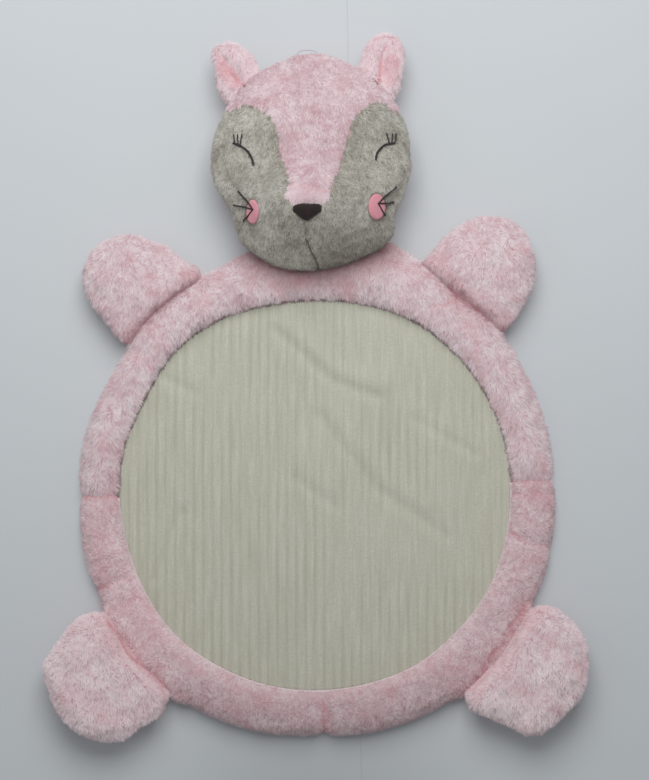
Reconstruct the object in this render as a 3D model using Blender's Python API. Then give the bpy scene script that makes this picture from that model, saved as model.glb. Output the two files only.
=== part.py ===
# Plush play mat: a round ribbed mat in a padded rim, with a stuffed animal head and four paws.
# Metres, +Z up. It lies flat on z = 0 with its head towards +Y.
# The origin is the centre of the round mat, at floor level.

import math
from bisect import bisect_right
from collections import namedtuple

import bmesh
import bpy
from mathutils import Matrix

# Clearance between neighbouring pieces
FIT = 0.0003

# Centre panel
PANEL_THICKNESS = 0.012
RIB_COUNT = 42
RIB_HEIGHT = 0.0012
RIB_CREST = (0.22, 0.72)
PANEL_ROWS = 11
PANEL_SLACK = 0.0006
PANEL_TIP = 0.0006

# A row for each soft crease of the panel: its two ends, its half width and its height
Crease = namedtuple("Crease", "x0 y0 x1 y1 width rise")
PANEL_CREASES = (
    Crease(-0.048, 0.188, 0.015, 0.132, 0.010, 0.0022),
    Crease(0.015, 0.132, 0.065, 0.116, 0.011, 0.0016),
    Crease(0.002, 0.091, 0.065, 0.009, 0.011, 0.0020),
    Crease(0.065, 0.009, 0.147, -0.047, 0.011, 0.0018),
    Crease(-0.152, -0.019, -0.181, -0.094, 0.012, 0.0020),
    Crease(-0.180, 0.138, -0.139, 0.116, 0.010, 0.0015),
    Crease(0.112, 0.085, 0.178, 0.047, 0.012, 0.0014),
)

# Padded rim, a section every 15 degrees anticlockwise from +X
Section = namedtuple("Section", "angle inner outer height")
RIM = (
    Section(0, 0.2195, 0.2680, 0.032),
    Section(15, 0.2210, 0.2685, 0.034),
    Section(30, 0.2230, 0.2715, 0.034),
    Section(45, 0.2250, 0.2765, 0.034),
    Section(60, 0.2265, 0.2780, 0.035),
    Section(75, 0.2245, 0.2980, 0.036),
    Section(90, 0.2220, 0.3020, 0.036),
    Section(105, 0.2240, 0.2850, 0.036),
    Section(120, 0.2290, 0.2755, 0.035),
    Section(135, 0.2295, 0.2735, 0.034),
    Section(150, 0.2240, 0.2670, 0.033),
    Section(165, 0.2250, 0.2690, 0.034),
    Section(180, 0.2240, 0.2670, 0.032),
    Section(195, 0.2215, 0.2705, 0.033),
    Section(210, 0.2220, 0.2710, 0.033),
    Section(225, 0.2230, 0.2735, 0.033),
    Section(240, 0.2200, 0.2760, 0.034),
    Section(255, 0.2185, 0.2735, 0.034),
    Section(270, 0.2170, 0.2700, 0.032),
    Section(285, 0.2170, 0.2735, 0.034),
    Section(300, 0.2190, 0.2755, 0.035),
    Section(315, 0.2185, 0.2740, 0.035),
    Section(330, 0.2200, 0.2705, 0.034),
    Section(345, 0.2190, 0.2710, 0.033),
)

# Where seams and creases draw the rim in: angle, half width in degrees, depth
Pinch = namedtuple("Pinch", "angle width depth")
RIM_PINCHES = (
    Pinch(4.5, 2.0, 0.0040),
    Pinch(348.5, 2.5, 0.0030),
    Pinch(180.0, 2.0, 0.0045),
    Pinch(271.7, 2.0, 0.0040),
    Pinch(203.0, 2.5, 0.0030),
    Pinch(142.0, 2.5, 0.0030),
    Pinch(119.0, 2.5, 0.0020),
)

# Shape of a rim section, as shares of its width and height
Corner = namedtuple("Corner", "across up")
RIM_PROFILE = (
    Corner(0.05, 0.00),
    Corner(0.00, 0.10),
    Corner(0.00, 0.40),
    Corner(0.05, 0.68),
    Corner(0.17, 0.89),
    Corner(0.35, 0.99),
    Corner(0.56, 1.00),
    Corner(0.76, 0.90),
    Corner(0.92, 0.67),
    Corner(1.00, 0.36),
    Corner(0.985, 0.12),
    Corner(0.92, 0.00),
)
RIM_STEP = 4.0

# Bands of the rim, each from one seam to the next, in degrees
Band = namedtuple("Band", "name start end")
RIM_BANDS = (
    Band("rim_upper", 4.5, 180.0),
    Band("rim_lower_left", 180.0, 271.7),
    Band("rim_lower_right", 271.7, 364.5),
)

# Outlines seen from above: how far a stuffed piece reaches from its centre in each direction
Reach = namedtuple("Reach", "angle reach")
HEAD_CENTRE = (-0.006, 0.372)
HEAD_OUTLINE = (
    Reach(0, 0.112),
    Reach(15, 0.112),
    Reach(30, 0.114),
    Reach(45, 0.116),
    Reach(60, 0.117),
    Reach(75, 0.120),
    Reach(90, 0.123),
    Reach(105, 0.119),
    Reach(120, 0.117),
    Reach(135, 0.115),
    Reach(150, 0.113),
    Reach(165, 0.112),
    Reach(180, 0.113),
    Reach(195, 0.109),
    Reach(210, 0.109),
    Reach(225, 0.116),
    Reach(240, 0.119),
    Reach(255, 0.120),
    Reach(270, 0.118),
    Reach(285, 0.117),
    Reach(300, 0.118),
    Reach(315, 0.122),
    Reach(330, 0.118),
    Reach(345, 0.112),
)

# Height of the stuffed face: a level, and a row for each swelling or hollow on it
FACE_LEVEL = 0.081
FACE_ROUNDNESS = 0.72
MOUND_SHARPNESS = 1.3
Swelling = namedtuple("Swelling", "x y wide long rise")
FACE_SWELLINGS = (
    Swelling(-0.006, 0.425, 0.070, 0.045, 0.009),
    Swelling(-0.011, 0.324, 0.042, 0.044, 0.030),
    Swelling(-0.062, 0.318, 0.036, 0.036, 0.012),
    Swelling(0.050, 0.318, 0.036, 0.036, 0.012),
    Swelling(-0.066, 0.385, 0.026, 0.026, -0.005),
    Swelling(0.056, 0.385, 0.026, 0.026, -0.005),
)

# Side seam between the head's back and its face pieces: a plane that rises towards the chin
SIDE_SEAM_HEIGHT = 0.040
SIDE_SEAM_AT = 0.490
SIDE_SEAM_SLOPE = 0.050

# Face seams as seen from above, along the points a maker would notch
BROW_LEFT = (
    (-0.153, 0.431),
    (-0.099, 0.431),
    (-0.074, 0.437),
    (-0.052, 0.424),
    (-0.046, 0.407),
    (-0.042, 0.380),
    (-0.034, 0.358),
    (-0.032, 0.347),
)
BROW_RIGHT = (
    (0.149, 0.424),
    (0.092, 0.428),
    (0.071, 0.441),
    (0.058, 0.438),
    (0.040, 0.423),
    (0.034, 0.404),
    (0.027, 0.380),
    (0.020, 0.359),
    (0.012, 0.341),
)
MUZZLE_LEFT = ((-0.032, 0.347), (-0.037, 0.333), (-0.030, 0.319), (-0.012, 0.306))
MUZZLE_RIGHT = ((0.012, 0.341), (0.014, 0.331), (0.009, 0.321), (-0.012, 0.306))
MUZZLE_BROW = ((-0.032, 0.347), (-0.020, 0.347), (-0.007, 0.345), (0.012, 0.341))
CHIN = ((-0.012, 0.306), (-0.009, 0.281), (-0.002, 0.267), (0.002, 0.256), (0.004, 0.215))
CHEEK_FAR_LEFT = (-0.153, 0.215)
CHEEK_FAR_RIGHT = (0.149, 0.215)

# Nose
NOSE_CENTRE = (-0.011, 0.3215)
NOSE_RISE = 0.0060
NOSE_DEPTH = 0.0050
NOSE_ROUNDNESS = 0.7
NOSE_OUTLINE = (
    Reach(15, 0.0175),
    Reach(58, 0.0108),
    Reach(90, 0.0095),
    Reach(125, 0.0105),
    Reach(163, 0.0175),
    Reach(200, 0.0140),
    Reach(235, 0.0105),
    Reach(268, 0.0105),
    Reach(300, 0.0105),
    Reach(340, 0.0150),
)

# Satin cheek discs: centre and half sizes
DISC_RISE = 0.0010
DISC_DEPTH = 0.0022
Disc = namedtuple("Disc", "name x y wide long")
CHEEK_DISCS = (
    Disc("cheek_disc_left", -0.073, 0.320, 0.0085, 0.0165),
    Disc("cheek_disc_right", 0.067, 0.325, 0.0115, 0.0170),
)

# Ears: folded lengthwise along a crease, with a pinker inner ear beside it
EAR_SEAM_HEIGHT = 0.036
EAR_RISE = 0.016
EAR_DEPTH = 0.014
EAR_ROUNDNESS = 0.7
FOLD_DEPTH = 0.006
FOLD_WIDTH = 0.006
INNER_EAR_RISE = 0.0012
INNER_EAR_DEPTH = 0.0022
Ear = namedtuple("Ear", "name x y fold outline inner_x inner_y inner_wide inner_long inner_turn")
EARS = (
    Ear(
        "ear_left", -0.0907, 0.4780, ((-0.112, 0.500), (-0.082, 0.462)),
        (
            Reach(13, 0.0240), Reach(41, 0.0255), Reach(74, 0.0290), Reach(97, 0.0365),
            Reach(118, 0.0368), Reach(135, 0.0360), Reach(165, 0.0255), Reach(193, 0.0240),
            Reach(220, 0.0275), Reach(245, 0.0360), Reach(275, 0.0420), Reach(305, 0.0400),
            Reach(340, 0.0300),
        ),
        -0.0990, 0.4730, 0.0080, 0.0190, 38.0,
    ),
    Ear(
        "ear_right", 0.0740, 0.4830, ((0.077, 0.507), (0.071, 0.459)),
        (
            Reach(11, 0.0240), Reach(31, 0.0285), Reach(54, 0.0345), Reach(77, 0.0400),
            Reach(98, 0.0370), Reach(117, 0.0330), Reach(147, 0.0268), Reach(180, 0.0265),
            Reach(222, 0.0310), Reach(255, 0.0420), Reach(286, 0.0410), Reach(319, 0.0255),
            Reach(345, 0.0230),
        ),
        0.0830, 0.4800, 0.0070, 0.0200, -2.0,
    ),
)

# Paws: stuffed pads, whose last rows reach into the rim
Paw = namedtuple("Paw", "name x y seam height roundness outline")
PAWS = (
    Paw(
        "paw_front_left", -0.1980, 0.2320, 0.024, 0.052, 0.62,
        (
            Reach(0, 0.063), Reach(12, 0.075), Reach(28, 0.061), Reach(42, 0.0555),
            Reach(60, 0.057), Reach(75, 0.055), Reach(92, 0.061), Reach(110, 0.065),
            Reach(130, 0.069), Reach(150, 0.069), Reach(170, 0.066), Reach(190, 0.059),
            Reach(205, 0.055), Reach(220, 0.052), Reach(240, 0.057), Reach(257, 0.062),
            Reach(278, 0.047), Reach(310, 0.036), Reach(340, 0.047),
        ),
    ),
    Paw(
        "paw_front_right", 0.1830, 0.2540, 0.024, 0.052, 0.62,
        (
            Reach(0, 0.062), Reach(20, 0.063), Reach(45, 0.066), Reach(60, 0.066),
            Reach(75, 0.061), Reach(90, 0.060), Reach(105, 0.056), Reach(120, 0.054),
            Reach(145, 0.054), Reach(160, 0.057), Reach(173, 0.066), Reach(200, 0.052),
            Reach(234, 0.043), Reach(265, 0.055), Reach(287, 0.077), Reach(300, 0.069),
            Reach(315, 0.063), Reach(335, 0.061),
        ),
    ),
    Paw(
        "paw_hind_left", -0.2340, -0.1960, 0.028, 0.060, 0.45,
        (
            Reach(0, 0.062), Reach(20, 0.047), Reach(40, 0.038), Reach(65, 0.046),
            Reach(85, 0.060), Reach(100, 0.068), Reach(120, 0.068), Reach(145, 0.065),
            Reach(160, 0.067), Reach(182, 0.072), Reach(200, 0.069), Reach(218, 0.073),
            Reach(235, 0.075), Reach(250, 0.077), Reach(268, 0.079), Reach(285, 0.078),
            Reach(300, 0.071), Reach(315, 0.075), Reach(330, 0.084), Reach(340, 0.088),
        ),
    ),
    Paw(
        "paw_hind_right", 0.2340, -0.1920, 0.028, 0.060, 0.45,
        (
            Reach(0, 0.069), Reach(15, 0.072), Reach(30, 0.074), Reach(50, 0.073),
            Reach(68, 0.075), Reach(90, 0.062), Reach(115, 0.050), Reach(141, 0.043),
            Reach(170, 0.054), Reach(190, 0.068), Reach(209, 0.084), Reach(220, 0.075),
            Reach(235, 0.068), Reach(255, 0.067), Reach(270, 0.075), Reach(288, 0.075),
            Reach(302, 0.068), Reach(320, 0.068), Reach(340, 0.070),
        ),
    ),
)

# Meshes of the stuffed pieces: steps round and steps from pole to pole
HEAD_MESH = (44, 24)
PAW_MESH = (26, 12)
EAR_MESH = (24, 14)
TRIM_MESH = (20, 6)

# How fast a stuffed underside reaches the floor, and how full the small trim is
UNDERSIDE_SINK = 1.30
TRIM_ROUNDNESS = 0.4

# Cutters: how far one goes below the floor, its height, and the width of a block
CUTTER_DEPTH = 0.010
CUTTER_HEIGHT = 0.200
BLOCK_SIZE = 0.600


def clear_scene():
    for item in list(bpy.data.objects):
        bpy.data.objects.remove(item, do_unlink=True)


def new_collection(name):
    collection = bpy.data.collections.new(name)
    bpy.context.scene.collection.children.link(collection)
    return collection


def make_material(name, colour, roughness, sheen=0.0):
    material = bpy.data.materials.new(name)
    material.use_nodes = True
    shader = material.node_tree.nodes["Principled BSDF"]
    shader.inputs["Base Color"].default_value = (*colour, 1.0)
    shader.inputs["Roughness"].default_value = roughness
    shader.inputs["Metallic"].default_value = 0.0
    shader.inputs["Sheen Weight"].default_value = sheen
    return material


def add_object(name, mesh, collection, material=None, location=(0.0, 0.0, 0.0)):
    item = bpy.data.objects.new(name, mesh)
    item.location = location
    collection.objects.link(item)
    if material is None:
        item.hide_render = True
        item.display_type = "WIRE"
    else:
        mesh.materials.append(material)
        mesh.shade_smooth()
    return item


def mesh_from(bm, name):
    mesh = bpy.data.meshes.new(name)
    bmesh.ops.recalc_face_normals(bm, faces=bm.faces)
    bm.to_mesh(mesh)
    bm.free()
    return mesh


def cut(item, cutter, operation="DIFFERENCE"):
    step = item.modifiers.new(cutter.name, "BOOLEAN")
    step.solver = "EXACT"
    step.operation = operation
    step.object = cutter


# Reading the tables

def around(rows, column, angle):
    """A column of a table of directions, read smoothly all the way round."""
    count = len(rows)
    angle = angle % 360.0
    start = bisect_right([row.angle for row in rows], angle) - 1

    def place(step):
        return rows[step % count].angle + 360.0 * (step // count)

    def value(step):
        return getattr(rows[step % count], column)

    def slope(step):
        return (value(step + 1) - value(step - 1)) / (place(step + 1) - place(step - 1))

    span = place(start + 1) - place(start)
    t = (angle - place(start)) / span
    return (
        value(start) * (1.0 + 2.0 * t) * (1.0 - t) ** 2
        + value(start + 1) * t * t * (3.0 - 2.0 * t)
        + slope(start) * span * t * (1.0 - t) ** 2
        - slope(start + 1) * span * t * t * (1.0 - t)
    )


def reach_of(outline, extra=0.0):
    return lambda angle: around(outline, "reach", angle) + extra


def ellipse_reach(wide, long, turn=0.0, extra=0.0):
    """Reach of an ellipse whose long axis is turned anticlockwise from +Y."""
    def reach(angle):
        t = math.radians(angle - turn)
        return wide * long / math.hypot(long * math.cos(t), wide * math.sin(t)) + extra
    return reach


def bell(distance, width):
    return math.exp(-(distance / width) ** 2)


def distance_to_segment(x, y, x0, y0, x1, y1):
    length = math.hypot(x1 - x0, y1 - y0)
    along = ((x - x0) * (x1 - x0) + (y - y0) * (y1 - y0)) / length ** 2
    along = min(max(along, 0.0), 1.0)
    return math.hypot(x - x0 - along * (x1 - x0), y - y0 - along * (y1 - y0))


# Rim

def rim_pinch(angle):
    total = 0.0
    for pinch in RIM_PINCHES:
        apart = (angle - pinch.angle + 180.0) % 360.0 - 180.0
        total += pinch.depth * bell(apart, pinch.width)
    return total


def rim_section(angle, grow):
    """Points of one cross section of the rim, in world coordinates."""
    drawn_in = rim_pinch(angle)
    inner = around(RIM, "inner", angle) - grow
    outer = around(RIM, "outer", angle) + grow - 0.5 * drawn_in
    height = around(RIM, "height", angle) + grow - drawn_in
    floor = -CUTTER_DEPTH if grow else 0.0
    turn = math.radians(angle)
    points = []
    for corner in RIM_PROFILE:
        radius = inner + corner.across * (outer - inner)
        level = corner.up * height if corner.up else floor
        points.append((radius * math.cos(turn), radius * math.sin(turn), level))
    return points


def rim_loft(name, start, end, grow=0.0):
    """Loft the rim's sections from one angle to another, closed by flat ends or as a ring."""
    steps = round((end - start) / RIM_STEP)
    ring = end - start == 360.0
    bm = bmesh.new()
    sections = []
    for step in range(steps if ring else steps + 1):
        angle = start + (end - start) * step / steps
        sections.append([bm.verts.new(point) for point in rim_section(angle, grow)])
    count = len(RIM_PROFILE)
    for step in range(steps):
        here = sections[step]
        there = sections[(step + 1) % len(sections)]
        for corner in range(count):
            after = (corner + 1) % count
            bm.faces.new((here[corner], here[after], there[after], there[corner]))
    if not ring:
        bm.faces.new(sections[0])
        bm.faces.new(reversed(sections[-1]))
    return mesh_from(bm, name)


def build_rim(collection, material):
    half_fit = math.degrees(0.5 * FIT / around(RIM, "inner", 0.0))
    for band in RIM_BANDS:
        mesh = rim_loft(band.name, band.start + half_fit, band.end - half_fit)
        add_object(band.name, mesh, collection, material)


# Centre panel

def panel_edge():
    """Outline of the panel, a little inside the rim, anticlockwise from +X."""
    points = []
    steps = round(360.0 / RIM_STEP)
    for step in range(steps):
        angle = 360.0 * step / steps
        radius = around(RIM, "inner", angle) - PANEL_SLACK
        turn = math.radians(angle)
        points.append((radius * math.cos(turn), radius * math.sin(turn)))
    return points


def chord(edge, x):
    """Lowest and highest point of the outline on the line at x."""
    crossings = []
    for (x0, y0), (x1, y1) in zip(edge, edge[1:] + edge[:1]):
        if (x0 - x) * (x1 - x) <= 0.0 and x0 != x1:
            crossings.append(y0 + (y1 - y0) * (x - x0) / (x1 - x0))
    return min(crossings), max(crossings)


def panel_level(x, y, on_crest):
    level = PANEL_THICKNESS - (0.0 if on_crest else RIB_HEIGHT)
    for crease in PANEL_CREASES:
        apart = distance_to_segment(x, y, crease.x0, crease.y0, crease.x1, crease.y1)
        level += crease.rise * bell(apart, crease.width)
    return level


def panel_columns(low, high):
    """Places across the ribs: the foot of each valley and both edges of each crest."""
    pitch = (high - low) / RIB_COUNT
    columns = []
    for rib in range(RIB_COUNT):
        columns.append((low + rib * pitch, False))
        columns += [(low + (rib + share) * pitch, True) for share in RIB_CREST]
    columns.append((high, False))
    return columns


def build_panel(collection, material):
    edge = panel_edge()
    low = min(x for x, y in edge) + PANEL_TIP
    high = max(x for x, y in edge) - PANEL_TIP
    columns = panel_columns(low, high)
    bm = bmesh.new()
    bmesh.ops.create_grid(bm, x_segments=len(columns) - 1, y_segments=PANEL_ROWS, size=1.0)
    for vert in bm.verts:
        column = round((vert.co.x + 1.0) / 2.0 * (len(columns) - 1))
        share = (vert.co.y + 1.0) / 2.0
        x, on_crest = columns[column]
        near, far = chord(edge, x)
        y = near + share * (far - near)
        vert.co = (x, y, panel_level(x, y, on_crest))
    extruded = bmesh.ops.extrude_face_region(bm, geom=bm.faces[:])["geom"]
    for item in extruded:
        if isinstance(item, bmesh.types.BMVert):
            item.co.z = 0.0
    underside = [item for item in extruded if isinstance(item, bmesh.types.BMFace)]
    bmesh.ops.dissolve_faces(bm, faces=underside, use_verts=True)
    add_object("centre_panel", mesh_from(bm, "centre_panel"), collection, material)


# Stuffed forms

def pillow(name, centre, reach, seam, top, depth, roundness, steps, floor=None):
    """A stuffed form: a sphere drawn out to an outline, with its seam, top and underside."""
    bm = bmesh.new()
    bmesh.ops.create_uvsphere(bm, u_segments=steps[0], v_segments=steps[1], radius=1.0)
    for vert in bm.verts:
        level = max(-1.0, min(1.0, vert.co.z))
        out = math.sqrt(1.0 - level * level)
        angle = math.atan2(vert.co.y, vert.co.x)
        radius = out * reach(math.degrees(angle))
        x = centre[0] + radius * math.cos(angle)
        y = centre[1] + radius * math.sin(angle)
        z = seam(x, y)
        if level > 0.0:
            z += (top(x, y) - z) * level ** roundness
        else:
            z -= depth(x, y) * (-level) ** roundness
        vert.co = (x, y, z if floor is None else max(floor, z))
    return mesh_from(bm, name)


def build_paws(collection, material, rim_cutter):
    for paw in PAWS:
        mesh = pillow(
            paw.name, (0.0, 0.0), reach_of(paw.outline),
            lambda x, y: paw.seam,
            lambda x, y: paw.height,
            lambda x, y: UNDERSIDE_SINK * paw.seam,
            paw.roundness, PAW_MESH, floor=0.0,
        )
        item = add_object(paw.name, mesh, collection, material, (paw.x, paw.y, 0.0))
        cut(item, rim_cutter)


# Head

def side_seam(x, y):
    return SIDE_SEAM_HEIGHT + SIDE_SEAM_SLOPE * (SIDE_SEAM_AT - y)


def face_top(x, y):
    level = FACE_LEVEL
    for mound in FACE_SWELLINGS:
        apart = math.hypot((x - mound.x) / mound.wide, (y - mound.y) / mound.long)
        level += mound.rise * bell(apart ** MOUND_SHARPNESS, 1.0)
    return level


def face_surface(x, y):
    """Height of the finished face above the floor."""
    across = x - HEAD_CENTRE[0]
    along = y - HEAD_CENTRE[1]
    reach = around(HEAD_OUTLINE, "reach", math.degrees(math.atan2(along, across)))
    out = min(math.hypot(across, along) / reach, 1.0)
    seam = side_seam(x, y)
    return seam + (face_top(x, y) - seam) * (1.0 - out * out) ** (0.5 * FACE_ROUNDNESS)


def head_form(name, grow=0.0):
    return pillow(
        name, HEAD_CENTRE, reach_of(HEAD_OUTLINE, grow),
        side_seam,
        lambda x, y: face_top(x, y) + grow,
        lambda x, y: UNDERSIDE_SINK * side_seam(x, y),
        FACE_ROUNDNESS, HEAD_MESH, floor=-grow,
    )


def half_space(name, collection, above, offset):
    """A block with one face on the side seam's plane, moved off it by the offset."""
    bm = bmesh.new()
    bmesh.ops.create_cube(bm, size=BLOCK_SIZE)
    lift = offset + (0.5 * BLOCK_SIZE if above else -0.5 * BLOCK_SIZE)
    bmesh.ops.translate(bm, verts=bm.verts, vec=(0.0, 0.0, lift))
    tilt = Matrix.Rotation(-math.atan(SIDE_SEAM_SLOPE), 4, "X")
    bmesh.ops.transform(bm, matrix=tilt, verts=bm.verts)
    place = (HEAD_CENTRE[0], HEAD_CENTRE[1], side_seam(*HEAD_CENTRE))
    return add_object(name, mesh_from(bm, name), collection, location=place)


def smooth_line(points, steps=4):
    """Points of a smooth curve through the given ones."""
    line = []
    last = len(points) - 1
    for index in range(last):
        before = points[max(index - 1, 0)]
        here = points[index]
        there = points[index + 1]
        after = points[min(index + 2, last)]
        for step in range(steps):
            t = step / steps
            line.append(tuple(
                0.5 * (2.0 * b + (c - a) * t + (2.0 * a - 5.0 * b + 4.0 * c - d) * t * t
                       + (3.0 * b - a - 3.0 * c + d) * t * t * t)
                for a, b, c, d in zip(before, here, there, after)
            ))
    line.append(points[last])
    return line


def offset_outline(points, distance):
    """Move an anticlockwise outline outwards, or inwards where the distance is below zero."""
    moved = []
    for index, (x, y) in enumerate(points):
        x0, y0 = points[index - 1]
        x1, y1 = points[(index + 1) % len(points)]
        length = math.hypot(x1 - x0, y1 - y0)
        moved.append((x + distance * (y1 - y0) / length, y - distance * (x1 - x0) / length))
    return moved


def prism(name, collection, outline, distance):
    """An upright cutter from a flat outline."""
    curve = bpy.data.curves.new(name, "CURVE")
    curve.dimensions = "2D"
    curve.fill_mode = "BOTH"
    curve.extrude = 0.5 * CUTTER_HEIGHT
    points = offset_outline(outline, distance)
    spline = curve.splines.new("POLY")
    spline.points.add(len(points) - 1)
    for target, (x, y) in zip(spline.points, points):
        target.co = (x, y, 0.0, 1.0)
    spline.use_cyclic_u = True
    guide = bpy.data.objects.new(name + "_outline", curve)
    collection.objects.link(guide)
    bpy.context.view_layer.update()
    evaluated = guide.evaluated_get(bpy.context.evaluated_depsgraph_get())
    flat = bpy.data.meshes.new_from_object(evaluated)
    bpy.data.objects.remove(guide, do_unlink=True)
    bm = bmesh.new()
    bm.from_mesh(flat)
    bmesh.ops.remove_doubles(bm, verts=bm.verts, dist=0.00002)
    return add_object(name, mesh_from(bm, name), collection,
                      location=(0.0, 0.0, 0.5 * CUTTER_HEIGHT))


def joined(*lines):
    """Smooth lines end to end as one outline; a shared corner is kept once."""
    outline = []
    for line in lines:
        outline += smooth_line(line)[:-1] if len(line) > 1 else list(line)
    return outline


def face_outlines():
    left = joined(BROW_LEFT, MUZZLE_LEFT, CHIN, (CHIN[-1],), (CHEEK_FAR_LEFT,))
    right = joined(BROW_RIGHT, MUZZLE_RIGHT, CHIN, (CHIN[-1],), (CHEEK_FAR_RIGHT,))
    muzzle = joined(MUZZLE_BROW, MUZZLE_RIGHT, MUZZLE_LEFT[::-1])
    # The left cheek and the muzzle are listed clockwise, the right cheek anticlockwise
    return {"left": left[::-1], "right": right, "muzzle": muzzle[::-1]}


def nose_form(name, grow=0.0):
    return pillow(
        name, NOSE_CENTRE, reach_of(NOSE_OUTLINE, grow),
        face_surface,
        lambda x, y: face_surface(x, y) + NOSE_RISE + grow,
        lambda x, y: NOSE_DEPTH + grow,
        NOSE_ROUNDNESS, TRIM_MESH,
    )


def disc_form(name, disc, grow=0.0):
    return pillow(
        name, (disc.x, disc.y), ellipse_reach(disc.wide, disc.long, 0.0, grow),
        face_surface,
        lambda x, y: face_surface(x, y) + DISC_RISE + grow,
        lambda x, y: DISC_DEPTH + grow,
        TRIM_ROUNDNESS, TRIM_MESH,
    )


def build_head(collection, cutters, materials, rim_cutter):
    outlines = face_outlines()
    above = half_space("above_side_seam", cutters, True, 0.5 * FIT)
    below = half_space("below_side_seam", cutters, False, -0.5 * FIT)
    kept = {
        name: prism(name + "_kept", cutters, outline, -0.5 * FIT)
        for name, outline in outlines.items()
    }
    removed = {
        name: prism(name + "_removed", cutters, outline, 0.5 * FIT)
        for name, outline in outlines.items()
    }
    nose_cutter = add_object("nose_cutter", nose_form("nose_cutter", FIT), cutters)
    disc_cutters = {
        disc.name: add_object(disc.name + "_cutter", disc_form(disc.name + "_cutter", disc, FIT),
                              cutters)
        for disc in CHEEK_DISCS
    }

    back = add_object("head_back", head_form("head_back"), collection, materials["pink"])
    cut(back, below, "INTERSECT")
    cut(back, rim_cutter)

    crown = add_object("head_crown", head_form("head_crown"), collection, materials["pink"])
    cut(crown, above, "INTERSECT")
    for cutter in removed.values():
        cut(crown, cutter)

    for side in ("left", "right"):
        name = "head_cheek_" + side
        cheek = add_object(name, head_form(name), collection, materials["grey"])
        cut(cheek, above, "INTERSECT")
        cut(cheek, kept[side], "INTERSECT")
        cut(cheek, nose_cutter)
        cut(cheek, disc_cutters["cheek_disc_" + side])

    muzzle = add_object("muzzle_top", head_form("muzzle_top"), collection, materials["pale"])
    cut(muzzle, above, "INTERSECT")
    cut(muzzle, kept["muzzle"], "INTERSECT")
    cut(muzzle, nose_cutter)

    add_object("nose", nose_form("nose"), collection, materials["nose"])
    for disc in CHEEK_DISCS:
        add_object(disc.name, disc_form(disc.name, disc), collection, materials["satin"])


# Ears

def ear_top(ear, x, y):
    (x0, y0), (x1, y1) = ear.fold
    apart = distance_to_segment(x, y, x0, y0, x1, y1)
    return EAR_SEAM_HEIGHT + EAR_RISE - FOLD_DEPTH * bell(apart, FOLD_WIDTH)


def ear_surface(ear, x, y):
    angle = math.degrees(math.atan2(y - ear.y, x - ear.x))
    out = min(math.hypot(x - ear.x, y - ear.y) / around(ear.outline, "reach", angle), 1.0)
    rise = ear_top(ear, x, y) - EAR_SEAM_HEIGHT
    return EAR_SEAM_HEIGHT + rise * (1.0 - out * out) ** (0.5 * EAR_ROUNDNESS)


def inner_ear_form(name, ear, grow=0.0):
    return pillow(
        name, (ear.inner_x, ear.inner_y),
        ellipse_reach(ear.inner_wide, ear.inner_long, ear.inner_turn, grow),
        lambda x, y: ear_surface(ear, x, y),
        lambda x, y: ear_surface(ear, x, y) + INNER_EAR_RISE + grow,
        lambda x, y: INNER_EAR_DEPTH + grow,
        TRIM_ROUNDNESS, TRIM_MESH,
    )


def build_ears(collection, cutters, materials):
    head_cutter = add_object("head_cutter", head_form("head_cutter", FIT), cutters)
    for ear in EARS:
        mesh = pillow(
            ear.name, (ear.x, ear.y), reach_of(ear.outline),
            lambda x, y: EAR_SEAM_HEIGHT,
            lambda x, y: ear_top(ear, x, y),
            lambda x, y: EAR_DEPTH,
            EAR_ROUNDNESS, EAR_MESH,
        )
        item = add_object(ear.name, mesh, collection, materials["pink"])
        name = ear.name + "_inner"
        inner_cutter = add_object(name + "_cutter", inner_ear_form(name + "_cutter", ear, FIT),
                                  cutters)
        cut(item, head_cutter)
        cut(item, inner_cutter)
        add_object(name, inner_ear_form(name, ear), collection, materials["inner_ear"])


def main():
    clear_scene()
    parts = new_collection("plush_play_mat")
    cutters = new_collection("cutters")
    materials = {
        "pink": make_material("pink_plush", (0.62, 0.45, 0.48), 0.95, 0.4),
        "grey": make_material("grey_plush", (0.35, 0.34, 0.30), 0.95, 0.4),
        "pale": make_material("pale_plush", (0.66, 0.54, 0.56), 0.95, 0.4),
        "fleece": make_material("ribbed_fleece", (0.45, 0.46, 0.38), 0.95, 0.2),
        "nose": make_material("nose_satin", (0.035, 0.022, 0.020), 0.45),
        "satin": make_material("pink_satin", (0.56, 0.20, 0.25), 0.40),
        "inner_ear": make_material("inner_ear_plush", (0.62, 0.36, 0.39), 0.85, 0.3),
    }
    rim_cutter = add_object("rim_cutter", rim_loft("rim_cutter", 0.0, 360.0, FIT), cutters)
    build_panel(parts, materials["fleece"])
    build_rim(parts, materials["pink"])
    build_paws(parts, materials["pink"], rim_cutter)
    build_head(parts, cutters, materials, rim_cutter)
    build_ears(parts, cutters, materials)


main()
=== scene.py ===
import math
import bmesh
import bpy
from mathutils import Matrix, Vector, noise
from mathutils.bvhtree import BVHTree


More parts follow.
